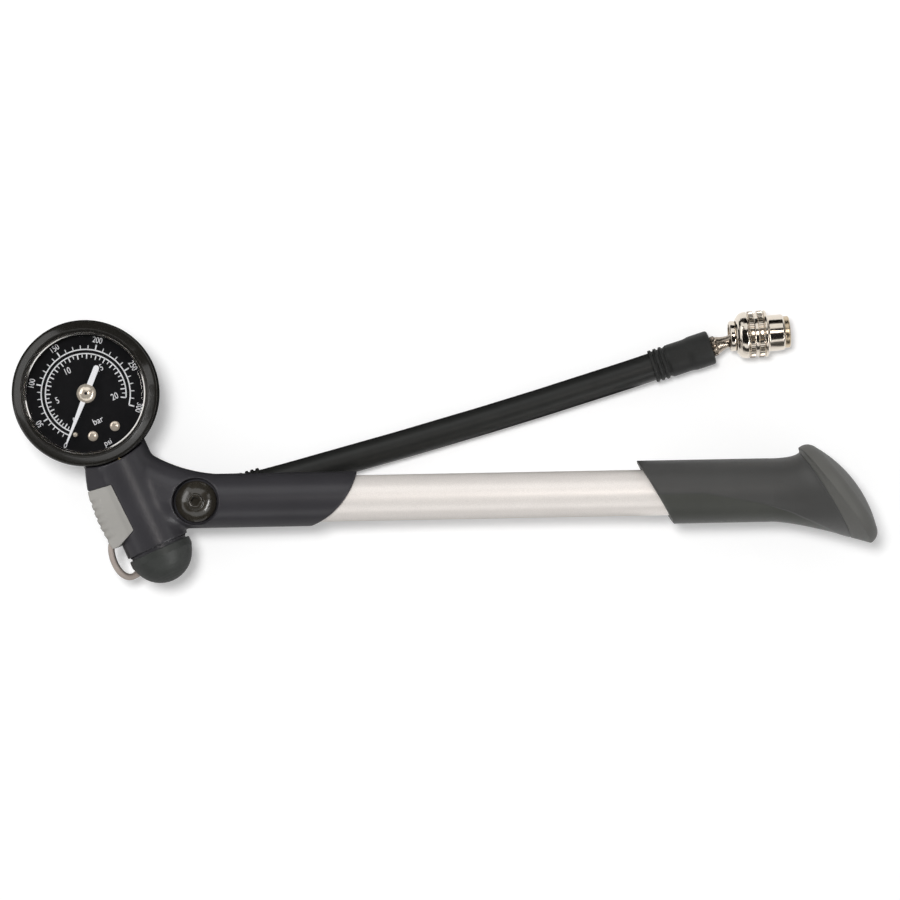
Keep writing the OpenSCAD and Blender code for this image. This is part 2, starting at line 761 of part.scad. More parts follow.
module pointer_arbor() {
    pinion_z = sector_z - 0.5;
    color("#b8b2a6") rotate([0, 0, head_tilt]) {
        translate([0, 0, movement_z + 0.1]) cylinder(r = arbor_r, h = hub_z - movement_z - 0.1);
        translate([0, 0, pinion_z]) linear_extrude(sector_t + 1) {
            circle(r = pinion_r - 1.1 * gear_module);
            for (i = [0 : pinion_teeth - 1])
                rotate(sector_side + (i + 0.5) * 360 / pinion_teeth) tooth(pinion_r);
        }
    }
}

module gauge_pointer() {
    half = pointer_w / 2;
    color("white") at_dial(zero_angle, 0) translate([0, 0, pointer_z]) linear_extrude(pointer_t) difference() {
        union() {
            polygon([[-0.2, -pointer_reach], [0.2, -pointer_reach], [half, 0], [-half, 0]]);
            translate([-half, 0]) square([pointer_w, pointer_tail - half]);
            translate([0, pointer_tail - half]) circle(r = half + 0.02);
            circle(r = half + 0.7);
        }
        circle(r = arbor_r + bond_fit);
    }
}

module pointer_hub() {
    color("#c8bfa9") translate([0, 0, hub_z]) difference() {
        cylinder(d1 = hub_d, d2 = hub_d - 1, h = hub_h);
        translate([0, 0, hub_h - 0.5]) cylinder(r = 0.6, h = 1);
    }
}

// Head

// The grip's outline: the side of the bulge, across the head tube
module grip_outline(top, foot) {
    intersection() {
        polygon(concat(top, foot));
        translate([grip_r - grip_bulge, -grip_mid]) circle(r = grip_r, $fn = 180);
    }
}

module pad_outline() {
    reach = grip_bulge + 3;
    grip_outline(
        [[-reach, -pad_top], [-pad_edge, -pad_top - pad_slant]],
        [[0.5 - pad_edge, -pad_end + 2.4], [-head_r - 0.1, -pad_end], [-reach, -pad_end]]
    );
}

module neck_outline() {
    reach = grip_bulge + 3;
    grip_outline(
        [[-reach, -case_r + past], [0, -case_r + past]],
        [[0, -pad_top - pad_slant], [-pad_edge, -pad_top - pad_slant], [-reach, -pad_top]]
    );
}

// The web: part of a ring, tangent to the barrel axis past the pivot, that runs up into the neck
module neck_web() {
    tube_r = sleeve_r - 0.25;
    mid_r = web_r + tube_r;
    span = 46;
    translate([pivot_x + web_reach, mid_r + 0.1 - barrel_drop, axis_h]) rotate([0, 0, -90 - span])
        rotate_extrude(angle = span) translate([mid_r, 0]) circle(r = tube_r);
}

// The sleeve's end is trimmed to an arc that leaves its long side on the hose's side
module sleeve() {
    trim_at = [sleeve_reach - sqrt(trim_r * trim_r - pow(sleeve_r - trim_lean, 2)), trim_lean, 0];
    intersection() {
        at_barrel(corner_u) cylinder(r = sleeve_r, h = sleeve_reach + past - corner_u);
        at_pivot() translate(trim_at) {
            cylinder(r = trim_r, h = axis_h + 2 * sleeve_r);
            translate([-3 * trim_r, -trim_lean - 2 * sleeve_r, 0])
                cube([3 * trim_r, 4 * sleeve_r, axis_h + 2 * sleeve_r]);
        }
    }
}

module head_body() {
    color("#37373d") difference() {
        union() {
            at_head(case_r - 4) cylinder(r = head_r, h = head_len - case_r + 4);
            at_head(head_len - past) cylinder(r = spigot_r, h = spigot_len + past);
            head_plate(axis_h - grip_depth / 2, grip_depth) neck_outline();
            sleeve();
            neck_web();
            at_pivot() translate([0, 0, boss_z]) cylinder(r = elbow_r + 0.3, h = axis_h - boss_z);
        }
        // Seats of the gauge
        rotate_extrude() polygon([
            [0, -past], [case_r + saddle_gap, -past], [case_r + saddle_gap, rim_z - rim_rise - saddle_gap],
            [rim_r + saddle_gap, rim_z - saddle_gap], [rim_r + saddle_gap, gauge_depth + past],
            [0, gauge_depth + past],
        ]);
        translate([0, 0, bezel_z - move_gap]) cylinder(r = bezel_r + move_gap, h = bezel_h + past);
        at_head(case_r - past) cylinder(r = stem_r, h = seal_end - case_r + past);
        // Air passages
        at_head(seal_end - past) cylinder(r = gallery_r, h = seat_start - seal_end + 2 * past);
        at_barrel(corner_u) cylinder(r = gallery_r, h = barrel_in - corner_u);
        // Bleed valve and button
        at_head(seat_start) cylinder(r = seat_r + bond_fit, h = head_len - seat_start);
        at_head(button_floor) cylinder(r = skirt_r + run_fit, h = head_len - button_floor + spigot_len + past);
        // Barrel and its seal
        at_barrel(barrel_in - barrel_seal_t) cylinder(r = barrel_r + bond_fit, h = sleeve_reach);
        // Pivot bolt, its recess, and the washer's seat
        at_pivot() {
            cylinder(r = bolt_r + bond_fit, h = axis_h + 2 * sleeve_r);
            translate([0, 0, recess_z]) cylinder(d = recess_d, h = 2 * sleeve_r);
            cylinder(r = elbow_r - 1.4, h = washer_z + washer_t);
        }
        // Pocket of the grip pad
        difference() {
            head_plate(axis_h - head_r - past, 2 * (head_r + past)) pad_outline();
            at_head(pad_top - 2 * past) cylinder(r = pad_core_r, h = pad_len + 4 * past);
        }
    }
}

module grip_pad() {
    rib_from = (pad_top + pad_end) / 2 - rib_pitch * (pad_ribs - 1) / 2;
    color("#9a9b97") difference() {
        intersection() {
            head_plate(axis_h - head_r - past, 2 * (head_r + past)) pad_outline();
            union() {
                at_head(pad_top - 2 * past) cylinder(r = head_r + pad_proud, h = pad_len + 4 * past);
                head_plate(axis_h - grip_depth / 2, grip_depth)
                    translate([-grip_bulge - past, -pad_end - past])
                        square([grip_bulge - head_r / 2 + past, pad_len + 2 * past]);
            }
        }
        at_head(pad_top - 3 * past) cylinder(r = pad_core_r + bond_fit, h = pad_len + 6 * past);
        // Grooves between the ribs
        for (i = [0 : pad_ribs - 1]) {
            a = rib_from + i * rib_pitch;
            out = sqrt(grip_r * grip_r - pow(a - grip_mid, 2)) - grip_r + grip_bulge;
            head_plate(axis_h - grip_depth, 2 * grip_depth) translate([-out - 0.15, -a]) circle(r = 0.4);
        }
    }
}

// The loop leaves the pad's end on edge, swings out and round behind the button, and ends flat on the
// head tube's back
module lanyard_loop() {
    steps = 22;
    from = [pad_end - 2.4, head_r + 1.5];
    out = [pad_end + 0.6, head_r + 6.8];
    low = [button_tip + 5.7, head_r + 4.4];
    to = [pad_end - 1.4, head_r + 0.6];
    half_w = loop_w / 2;
    half_t = loop_t / 2;
    path = [for (i = [0 : steps])
        let (t = i / steps, p = curve3(from, out, low, to, t), turn = 90 * pow(t, 2.2))
        [-p[1] * cos(turn), -p[1] * sin(turn), p[0]]];
    outline = [
        [half_w, 0.5 * half_t], [half_w - 0.4 * half_t, half_t], [0.4 * half_t - half_w, half_t],
        [-half_w, 0.5 * half_t], [-half_w, -0.5 * half_t], [0.4 * half_t - half_w, -half_t],
        [half_w - 0.4 * half_t, -half_t], [half_w, -0.5 * half_t],
    ];
    color("#8d847f") at_head(0) skin([for (i = [0 : steps])
        let (
            dir = heading(path, i),
            flat = unit(cross(dir, [path[i][0], path[i][1], 0])),
            twist = max(0, (i / steps - 0.6) / 0.4),
            lean = twist * twist * (3 - 2 * twist),
            edge = (1 - lean) * [0, -1, 0] + lean * flat,
            side = unit(edge - (edge * dir) * dir),
            thick = cross(side, dir)
        )
        [for (q = outline) path[i] + q[0] * side + q[1] * thick]]);
}

// A short straight side, then a taper that ends in a round nose
module bleed_button() {
    dome_r = button_d / 2;
    // The nose's centre, where its arc meets the tapered side and reaches the tip
    nose_c = (button_h - dome_r * cos(button_taper) - button_side * sin(button_taper)) / (1 - sin(button_taper));
    nose_r = button_h - nose_c;
    spring_r = seat_r - 0.3;
    color("#41443f") at_head(button_start) difference() {
        union() {
            rotate_extrude() polygon(concat(
                [[0, 0], [dome_r - 0.2, 0], [dome_r, 0.2], [dome_r, button_side]],
                [for (p = arc([0, nose_c], nose_r, button_taper, 90, 8)) [max(p[0], 0), p[1]]]
            ));
            translate([0, 0, -skirt_len]) cylinder(r = skirt_r, h = skirt_len + 0.5);
        }
        translate([0, 0, -skirt_len - past]) cylinder(r = spring_r + 0.3, h = skirt_len - 0.6 + past);
        translate([0, 0, -past]) cylinder(r = bleed_pin_r, h = past + 2);
        // Room for the spigot
        translate([0, 0, -past]) tube(spigot_r + move_gap, skirt_r, spigot_len + move_gap + past);
    }
}

module bleed_pin() {
    seat_gap = 0.05;
    color("#c4c4c6") {
        at_head(seat_start - seat_gap - poppet_t) cylinder(r = poppet_r, h = poppet_t);
        at_head(seat_start - seat_gap) cylinder(r = bleed_pin_r - run_fit, h = button_start + 2 - seat_start);
    }
}

module bleed_seat() {
    color("#b9964c") at_head(seat_start) tube(seat_r, bleed_pin_r + 0.1, seat_len);
}

module bleed_spring() {
    low = seat_start + seat_len;
    color("#b4b4b6") at_head(0)
        coil_spring(seat_r - spring_wire / 2 - 0.3, spring_wire, low + 0.05, button_start - 0.65, 5);
}

// Hose pivot

module pivot_bolt() {
    head_r = bolt_head_d / 2;
    rim_h = 0.35 * bolt_head_h;
    collar_r = collar_d / 2;
    color("#17171a") at_pivot() difference() {
        union() {
            translate([0, 0, bolt_low]) cylinder(r = bolt_r, h = recess_z - bolt_low + past);
            translate([0, 0, recess_z]) rotate_extrude() polygon(concat(
                [[0, 0], [head_r, 0]],
                [for (i = [0 : 6]) curve2([head_r, rim_h], [head_r - 0.4, bolt_head_h - 0.8],
                    [collar_r + 0.8, bolt_head_h - 0.5], i / 6)],
                [[collar_r + 0.3, bolt_head_h], [0, bolt_head_h]]
            ));
        }
        translate([0, 0, recess_z + bolt_head_h - 2.4]) cylinder(d = key_w * 2 / sqrt(3), h = 3, $fn = 6);
        // Air passage from the head down to the hose
        translate([0, 0, hose_z - 1]) cylinder(r = 1.1, h = axis_h - hose_z + 2);
        translate([-2 * bolt_r, 0, axis_h]) rotate([0, 90, 0]) cylinder(r = 1.1, h = 4 * bolt_r);
        translate([0, 0, hose_z]) rotate([0, 90, atan2(start_dir[1], start_dir[0])])
            cylinder(r = 1, h = 4 * bolt_r);
    }
}

module pivot_washer() {
    color("#2a2a2a") at_pivot() translate([0, 0, washer_z])
        tube(elbow_r - 1.4 - bond_fit, bolt_r + bond_fit, washer_t);
}

module elbow_nut() {
    color("#26262a") at_pivot() translate([0, 0, nut_low]) difference() {
        cylinder(r = nut_corner_r, h = nut_h, $fn = 6);
        translate([0, 0, -past]) cylinder(r = bolt_r + bond_fit, h = nut_h + 2 * past);
    }
}

module hose_elbow() {
    color("#1c1c1e") difference() {
        union() {
            at_pivot() translate([0, 0, elbow_low]) cylinder(r = elbow_r, h = elbow_top - elbow_low);
            at_hose(hose_start, start_dir) translate([0, 0, elbow_r - 1.6])
                cylinder(r = barb_r, h = barb_end - elbow_r + 1.6);
        }
        at_pivot() {
            cylinder(r = bolt_r + run_fit, h = elbow_top + past);
            cylinder(r = nut_corner_r + 0.4, h = nut_seat);
        }
        at_hose(hose_start, start_dir) cylinder(r = 1.2, h = barb_end + past);
    }
}

// Hose

// Rings at the hose's end of a ferrule, then a smooth sleeve with a collar at its far end
function ferrule_outline(length, hole, out_r, collar) = concat(
    [[hole, 0]],
    [for (i = [0 : ferrule_rings - 1])
        each let (z = i * ring_pitch, top = z + 0.62 * ring_pitch)
        [[out_r - 0.1, z], [out_r, z + 0.15], [out_r, top - 0.1],
            [out_r - ring_depth, top + 0.1], [out_r - ring_depth, z + ring_pitch - 0.1]]],
    [[out_r, ferrule_rings * ring_pitch + 0.5], [out_r, 0.62 * length], [out_r + collar, 0.68 * length],
        [out_r + collar, length - 0.9], [out_r + collar - 0.7, length], [hole, length]]
);

module rear_ferrule() {
    length = start_len - rear_ferrule_start;
    color("#1f1f20") at_hose(HOSE_ROUTE[0], -start_dir)
        rotate_extrude() polygon(ferrule_outline(length, barb_r + bond_fit, ferrule_r, 0));
}

module hose() {
    color("#28292a") at_pivot() skin([for (i = [0 : route_last])
        let (dir = i == 0 ? start_dir : i == route_last ? end_dir : heading(HOSE_ROUTE, i))
        ring(HOSE_ROUTE[i], dir, hose_d / 2, 12)]);
}

module front_ferrule() {
    color("#1f1f20") at_hose(HOSE_ROUTE[route_last], end_dir)
        rotate_extrude() polygon(ferrule_outline(ferrule_len, stem_barb_r + bond_fit, ferrule_r, ferrule_collar));
}

module coupler_stem() {
    ring_r = stem_ring_d / 2;
    waist_r = coupler_stem_d / 2;
    color("#b7b0a8") difference() {
        union() {
            at_hose(ferrule_end, end_dir) {
                rotate_extrude() polygon([
                    [0, 1 - ferrule_len], [stem_barb_r, 1 - ferrule_len], [stem_barb_r, 0], [ring_r, 0],
                    [ring_r, 1.4], [ring_r - 0.5, 1.6], [waist_r, 5], [waist_r, coupler_stem_len],
                    [0, coupler_stem_len],
                ]);
                translate([0, 0, coupler_stem_len]) sphere(r = bulb_r);
            }
        }
        at_coupler(bulb_face) cylinder(r = bulb_d, h = bulb_d);
        at_coupler(bulb_face - 1) cylinder(r = 0.8 + bond_fit, h = 2);
        at_hose(ferrule_end, end_dir) translate([0, 0, -ferrule_len])
            cylinder(r = 0.7, h = ferrule_len + coupler_stem_len - 1);
    }
}

module valve_seal() {
    color("#232323") at_coupler(bulb_face) tube(bulb_r - 0.5, 1.3, seal_face - bulb_face);
}

module depressor_pin() {
    color("#c0a866") at_coupler(bulb_face - 1) cylinder(r = 0.8, h = socket_floor - 0.5 - bulb_face + 1);
}

module coupler_cap() {
    spigot = 1.3;
    color("#cfcac4") at_coupler(cap_start) difference() {
        union() {
            rotate_extrude() polygon([
                [0, 0], [cap_r - 0.6, 0], [cap_r, 0.7], [cap_r, cap_t - 0.5], [cap_r - 0.4, cap_t], [0, cap_t],
            ]);
            cylinder(r = cavity_r - bond_fit, h = cap_t + spigot);
        }
        translate([0, 0, -past]) cylinder(d = cap_hole_d, h = cap_t + spigot + 2 * past);
    }
}

module coupler_body() {
    waist_r = cavity_r + 0.6;
    step = knurl_end + 0.7;
    ring_start = mouth_reach - mouth_ring_len;
    groove_r = 0.35;
    color("#d5d1cb") at_coupler(0) difference() {
        rotate_extrude() polygon(concat(
            [[cavity_r, cap_end], [waist_r, cap_end], [waist_r, cap_end + 0.3]],
            [for (i = [1 : 5]) curve2([waist_r, cap_end + 0.3], [knurl_r - 0.2, cap_end + 0.4],
                [knurl_r - 0.2, flange_end - 0.4], i / 5)],
            [
                [knurl_r - 0.7, flange_end - 0.2], [knurl_r, flange_end + 0.2], [knurl_r, flange_end + band_w],
                [knurl_r - 0.7, flange_end + band_w + 0.2],
                [knurl_r - 0.7, flange_end + band_w + band_gap - 0.2],
                [knurl_r, flange_end + band_w + band_gap], [knurl_r, knurl_end], [nose_r, step],
                [nose_r - 0.1, ring_start - 0.3], [nose_r - 0.4, ring_start], [mouth_ring_d / 2, ring_start],
                [mouth_ring_d / 2, mouth_reach - 0.2], [mouth_ring_d / 2 - 0.2, mouth_reach],
                [valve_socket_d / 2, mouth_reach], [valve_socket_d / 2, socket_floor], [cavity_r, socket_floor],
            ]
        ));
        for (i = [0 : knurl_grooves - 1]) rotate([0, 0, i * 360 / knurl_grooves])
            translate([knurl_r + 0.1, 0, flange_end - 0.3])
                cylinder(r = groove_r, h = knurl_end - flange_end + 0.6);
    }
}

// Barrel and check valve

module barrel() {
    color("#cfcac6") at_barrel(barrel_in) tube(barrel_r, bore_r, barrel_len);
}

module barrel_seal() {
    color("#222222") at_barrel(barrel_in - barrel_seal_t) tube(barrel_r - 0.1, gallery_r, barrel_seal_t);
}

module check_valve_body() {
    color("#b58f4a") at_barrel(barrel_in) difference() {
        cylinder(r = bore_r - bond_fit, h = check_len);
        translate([0, 0, -past]) cylinder(r = check_chamber_r, h = check_seat_u - barrel_in + past);
        cylinder(r = check_seat_r, h = check_len + past);
    }
}

module check_ball() {
    color("#d8d8da") at_barrel(ball_u) sphere(r = ball_r);
}

module check_spring() {
    color("#b4b4b6") at_barrel(0)
        coil_spring(ball_r - 0.5, 0.4, barrel_in + 0.05, ball_u - ball_r + 0.25, 4);
}

module rod_guide() {
    color("#2c2c30") at_barrel(guide_start) difference() {
        union() {
            cylinder(r = bore_r - bond_fit, h = guide_len + past / 2);
            translate([0, 0, guide_len]) cylinder(r = barrel_r, h = guide_flange);
        }
        translate([0, 0, -past]) cylinder(r = rod_r + run_fit, h = guide_len + guide_flange + 2 * past);
        translate([0, 0, (guide_len - rod_seal_w) / 2]) cylinder(r = rod_seal_r, h = rod_seal_w);
    }
}

module rod_seal() {
    color("#1a1a1a") at_barrel(guide_start + (guide_len - rod_seal_w) / 2)
        tube(rod_seal_r - bond_fit, rod_r + run_fit, rod_seal_w);
}

// Piston and rod

module piston_rod() {
    color("#d0d0d2") difference() {
        at_barrel(rod_start) cylinder(r = rod_r, h = rod_end - rod_start);
        at_barrel(rod_end - 8) cylinder(d = handle_screw_d + 2 * bond_fit, h = 8 + past);
    }
}

module piston() {
    groove_u = (piston_len - piston_seal_w) / 2;
    color("#ded9cf") at_barrel(piston_start) difference() {
        cylinder(r = piston_r, h = piston_len);
        translate([0, 0, rod_start - piston_start]) cylinder(r = rod_r + bond_fit, h = piston_len);
        translate([0, 0, groove_u]) tube(piston_r + past, piston_r - piston_groove, piston_seal_w);
    }
}

module piston_seal() {
    groove_u = (piston_len - piston_seal_w) / 2;
    color("#1b1b1b") at_barrel(piston_start + groove_u)
        tube(piston_r, piston_r - piston_groove + bond_fit, piston_seal_w);
}

module top_out_bumper() {
    color("#2b2b2b") at_barrel(piston_end) tube(bore_r - move_gap, rod_r + bond_fit, bumper_len);
}

// Handle

// Rings from the round sleeve out to the tilted palm rest, then over its crowned face.
// Each ring spans a point of the upper outline and a point of the lower one.
module palm_form() {
    sides = 40;
    flare_steps = 10;
    face_steps = 6;
    start_r = grip_radius - 0.04;
    upper = [[flare_u, start_r], [flare_u + 10.4, start_r], palm_c + palm_r * palm_across];
    lower = [[flare_u, -start_r], [flare_u + 7.5, -start_r], palm_c - palm_r * palm_across];
    half_face = asin(palm_rim_r / palm_face_r);
    flare = [for (i = [0 : flare_steps]) [
        curve2(upper[0], upper[1], upper[2], i / flare_steps),
        curve2(lower[0], lower[1], lower[2], i / flare_steps),
    ]];
    face = [for (i = [0 : face_steps])
        let (
            part = half_face * (1 - 0.97 * i / face_steps),
            rise = palm_rim + palm_face_r * (cos(part) - cos(half_face)),
            c = palm_c + rise * palm_normal,
            r = palm_face_r * sin(part)
        )
        [c + r * palm_across, c - r * palm_across]];
    at_pivot() translate([0, 0, axis_h]) skin([for (span = concat(flare, face))
        let (c = (span[0] + span[1]) / 2, half = (span[0] - span[1]) / 2, r = norm(half))
        [for (j = [0 : sides - 1])
            let (angle = 360 * j / sides)
            [c[0] + half[0] * cos(angle), c[1] + half[1] * cos(angle), r * sin(angle)]]]);
}

// The space on the palm pad's side of its seam
module pad_side() {
    reach = 60;
    at_pivot() translate([flare_u + pad_seam, 0, axis_h]) rotate([0, 0, pad_seam_tilt])
        translate([0, -reach / 2, -reach / 2]) cube(reach);
}

module handle_body() {
    cut_reach = 40;
    bore = barrel_r + handle_clear;
    tail = grip_radius * tan(handle_cut) + 2;
    color("#44454a") difference() {
        union() {
            at_barrel(handle_start - tail) cylinder(r = grip_radius, h = flare_u - handle_start + tail + past / 2);
            difference() {
                palm_form();
                pad_side();
            }
        }
        at_pivot() translate([handle_start, 0, axis_h]) rotate([0, 0, handle_cut])
            translate([-cut_reach, -cut_reach, -cut_reach]) cube([cut_reach, 2 * cut_reach, 2 * cut_reach]);
        at_barrel(handle_start - tail - past) cylinder(r = bore, h = handle_floor - handle_start + tail + past);
        at_barrel(handle_floor - past) cylinder(r = rod_r + bond_fit, h = rod_seat + past);
        at_barrel(rod_end - past) cylinder(d = handle_screw_d + 2 * bond_fit, h = screw_web + 2 * past);
        at_barrel(screw_seat) cylinder(d = handle_screw_head_d + 0.4, h = palm_reach);
    }
}

module palm_pad() {
    color("#6d6e6b") intersection() {
        palm_form();
        pad_side();
    }
}

module handle_screw() {
    color("#8f8f93") at_barrel(rod_end - 7) {
        cylinder(d = handle_screw_d, h = 7 + screw_web + 0.5);
        translate([0, 0, 7 + screw_web]) difference() {
            cylinder(d = handle_screw_head_d, h = 2.2);
            translate([0, 0, 1]) cylinder(d = 2.8, h = 2, $fn = 6);
        }
    }
}

module bottom_out_bumper() {
    color("#2b2b2b") at_barrel(handle_floor - bottom_bumper_t)
        tube(barrel_r, rod_r + bond_fit, bottom_bumper_t);
}

gauge_case();
gauge_bezel();
gauge_lens();
lens_gasket();
gauge_dial();
dial_screws();
pointer_stop_pin();
gauge_socket();
socket_seal();
bourdon_tube();
movement_frame();
sector_gear();
sector_link();
hairspring();
pointer_arbor();
gauge_pointer();
pointer_hub();
head_body();
grip_pad();
lanyard_loop();
bleed_button();
bleed_pin();
bleed_seat();
bleed_spring();
pivot_bolt();
pivot_washer();
elbow_nut();
hose_elbow();
rear_ferrule();
hose();
front_ferrule();
coupler_stem();
valve_seal();
depressor_pin();
coupler_cap();
coupler_body();
barrel();
barrel_seal();
check_valve_body();
check_ball();
check_spring();
rod_guide();
rod_seal();
piston_rod();
piston();
piston_seal();
top_out_bumper();
handle_body();
palm_pad();
handle_screw();
bottom_out_bumper();
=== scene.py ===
"""The hand pump's looks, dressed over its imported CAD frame.

Lengths are millimetres in the frame of the part, and turn into metres where a mesh is made. Some sizes
repeat the part's own, so that each piece lies where its solid does.
"""

import functools
import json
import math

import bmesh
import bpy
import numpy as np
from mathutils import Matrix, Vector


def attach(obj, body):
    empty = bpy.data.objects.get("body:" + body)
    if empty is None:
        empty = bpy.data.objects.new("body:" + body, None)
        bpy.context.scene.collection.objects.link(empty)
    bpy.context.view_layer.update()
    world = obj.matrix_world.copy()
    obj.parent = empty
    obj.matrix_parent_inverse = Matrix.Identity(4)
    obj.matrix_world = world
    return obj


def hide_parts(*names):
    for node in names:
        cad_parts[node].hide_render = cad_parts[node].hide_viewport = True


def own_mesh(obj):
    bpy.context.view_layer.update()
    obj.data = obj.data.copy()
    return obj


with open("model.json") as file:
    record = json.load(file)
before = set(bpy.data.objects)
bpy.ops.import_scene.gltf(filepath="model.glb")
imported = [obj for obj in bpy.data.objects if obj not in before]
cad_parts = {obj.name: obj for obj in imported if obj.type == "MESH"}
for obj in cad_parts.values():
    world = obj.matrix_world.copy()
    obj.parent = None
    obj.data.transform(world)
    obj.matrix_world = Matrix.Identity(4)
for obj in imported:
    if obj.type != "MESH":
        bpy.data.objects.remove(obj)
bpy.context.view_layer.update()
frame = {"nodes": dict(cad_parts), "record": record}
NODES = frame["nodes"]
SLOT_OF = {part["node"]: part["material_slot"] for part in frame["record"]["subparts"]}
MM = 0.001
scene = bpy.context.scene
scene.view_settings.view_transform = "Standard"

# The part's own places and sizes: barrel axis, hose pivot, head tube, hose route, stem and coupler
AXIS_H = 17.5
PIVOT = Vector((30.2, -30.9, 0))
UP = Vector((0, 0, 1))
HEAD_R = 9.1
HEAD_TILT = math.radians(23.5)
HEAD_ACROSS = Vector((math.cos(HEAD_TILT), math.sin(HEAD_TILT), 0))
HEAD_DOWN = Vector((math.sin(HEAD_TILT), -math.cos(HEAD_TILT), 0))
HOSE_R = 4
HOSE_ROUTE = [
    (17.8, 4.5, 4.8), (25.8, 6.5, 4.8), (33.8, 8.6, 4.8), (41.8, 10.7, 4.8), (49.8, 12.8, 4.8),
    (57.8, 14.9, 4.8), (65.8, 17.1, 4.8), (73.8, 19.3, 4.9), (81.8, 21.5, 5), (89.8, 23.8, 5.1),
    (97.8, 26.1, 5.3), (105.8, 28.5, 5.5), (113.8, 30.9, 5.7), (121.8, 33.3, 5.9), (129.8, 35.8, 6.1),
]
ROUTE = [PIVOT + Vector(p) for p in HOSE_ROUTE]
HOSE_START = PIVOT + Vector((0, 0, HOSE_ROUTE[0][2]))
START_DIR = (ROUTE[0] - HOSE_START).normalized()
END_DIR = (ROUTE[-1] - ROUTE[-2]).normalized()
FERRULE_LEN = 17.8
STEM_LEN = 10.9
FERRULE_END = ROUTE[-1] + FERRULE_LEN * END_DIR
BULB = FERRULE_END + STEM_LEN * END_DIR
COUPLER_LEAN = math.radians(3.5)
COUPLER_DIR = Vector((math.cos(COUPLER_LEAN), math.sin(COUPLER_LEAN), 0))


def add_object(name, data):
    """An object in the scene."""
    thing = bpy.data.objects.new(name, data)
    scene.collection.objects.link(thing)
    return thing


# Camera, straight above as in the photograph

CAMERA_PLACE = Vector((101.8, -17.8, 940))
CAMERA_ROLL = math.radians(-1.08)
CAMERA_LENS = 130.7


def add_camera():
    data = bpy.data.cameras.new("camera")
    data.lens = CAMERA_LENS
    camera = add_object("camera", data)
    camera.location = CAMERA_PLACE * MM
    camera.rotation_euler = (0, 0, CAMERA_ROLL)
    scene.camera = camera


add_camera()


# Mesh helpers

def full_turn(count):
    """The angles of that many even steps round a circle."""
    return [2 * math.pi * j / count for j in range(count)]


def rounded(profile, radius, steps):
    """The profile with each inner corner rounded over that length, less where its sides are short."""
    points = [np.array(p, float) for p in profile]
    out = [points[0]]
    for before, corner, after in zip(points, points[1:], points[2:]):
        a, b = before - corner, after - corner
        la, lb = np.linalg.norm(a), np.linalg.norm(b)
        r = min(radius, 0.45 * la, 0.45 * lb)
        p, q = corner + a / la * r, corner + b / lb * r
        for i in range(steps + 1):
            t = i / steps
            out.append((1 - t) ** 2 * p + 2 * t * (1 - t) * corner + t * t * q)
    out.append(points[-1])
    return [tuple(map(float, p)) for p in out]


def ring_faces(rows, sides, closed=False):
    """Faces between rings of points. The ends are capped, or the last ring meets the first."""
    faces = []
    for i in range(rows if closed else rows - 1):
        low, high = i * sides, (i + 1) % rows * sides
        for j in range(sides):
            k = (j + 1) % sides
            faces.append((low + j, low + k, high + k, high + j))
    if not closed:
        faces.append(tuple(range(sides)))
        faces.append(tuple(range((rows - 1) * sides, rows * sides))[::-1])
    return faces


def lathe(profile, start, axis, sides, wave=None, closed=False):
    """Verts and faces of a profile of (along, radius) turned about an axis. wave adds to a radius."""
    axis = axis.normalized()
    side = UP.cross(axis).normalized() if abs(axis.z) < 0.9 else Vector((1, 0, 0))
    up = axis.cross(side)
    verts = []
    for along, radius in profile:
        for angle in full_turn(sides):
            r = radius + (wave(along, radius, angle) if wave else 0)
            verts.append(start + along * axis + r * (math.cos(angle) * side + math.sin(angle) * up))
    return verts, ring_faces(len(profile), sides, closed)


def grid(rows):
    """Verts and faces through rings of points."""
    return [p for row in rows for p in row], ring_faces(len(rows), len(rows[0]))


def smooth_step(low, high, x):
    """0 up to low and 1 from high on, with a smooth rise between them."""
    t = min(max((x - low) / (high - low), 0), 1)
    return t * t * (3 - 2 * t)


# Edges sharper than this many degrees stay crisp on turned metal
TURNED_SHARP = 38


def add_piece(name, mesh, body, slot, replaces=(), sharp=35):
    """A mesh as a piece on a body, in its slot's finish, with edges sharper than that angle kept crisp."""
    mesh.name = name
    mesh.materials.clear()
    mesh.materials.append(FINISH[slot])
    mesh.shade_smooth()
    mesh.set_sharp_from_angle(angle=math.radians(sharp))
    piece = add_object(name, mesh)
    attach(piece, body)
    if replaces:
        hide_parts(*replaces)
    return piece


def make_piece(name, shape, body, slot, replaces=(), sharp=35):
    """A piece of a shape's verts, in millimetres, and faces."""
    verts, faces = shape
    mesh = bpy.data.meshes.new(name)
    mesh.from_pydata([tuple(Vector(v) * MM) for v in verts], [], faces)
    work = bmesh.new()
    work.from_mesh(mesh)
    bmesh.ops.remove_doubles(work, verts=work.verts, dist=1e-7)
    bmesh.ops.recalc_face_normals(work, faces=work.faces)
    work.to_mesh(mesh)
    work.free()
    return add_piece(name, mesh, body, slot, replaces, sharp)


def add_turned(name, profile, body, slot, node, start=Vector((0, 0, 0)), axis=UP, sides=128, wave=None,
               closed=False, sharp=TURNED_SHARP):
    """A profile turned about an axis, as a piece that stands for a node."""
    return make_piece(name, lathe(profile, start, axis, sides, wave, closed), body, slot, [node], sharp)


def second_finish(piece, finish, where):
    """Another finish for the faces of a piece that where picks by their middles, in millimetres."""
    piece.data.materials.append(FINISH[finish])
    for face in piece.data.polygons:
        if where(face.center / MM):
            face.material_index = 1


def set_tone(mesh, shade_amounts):
    """How far each point takes its material's darker second colour, which is painted shade."""
    painted_shade = mesh.attributes.new("painted_shade", "FLOAT", "POINT")
    painted_shade.data.foreach_set("value", np.array(shade_amounts, np.float32))


def points_of(mesh):
    """A mesh's points, in millimetres."""
    flat = np.empty(len(mesh.vertices) * 3)
    mesh.vertices.foreach_get("co", flat)
    return flat.reshape(-1, 3) / MM


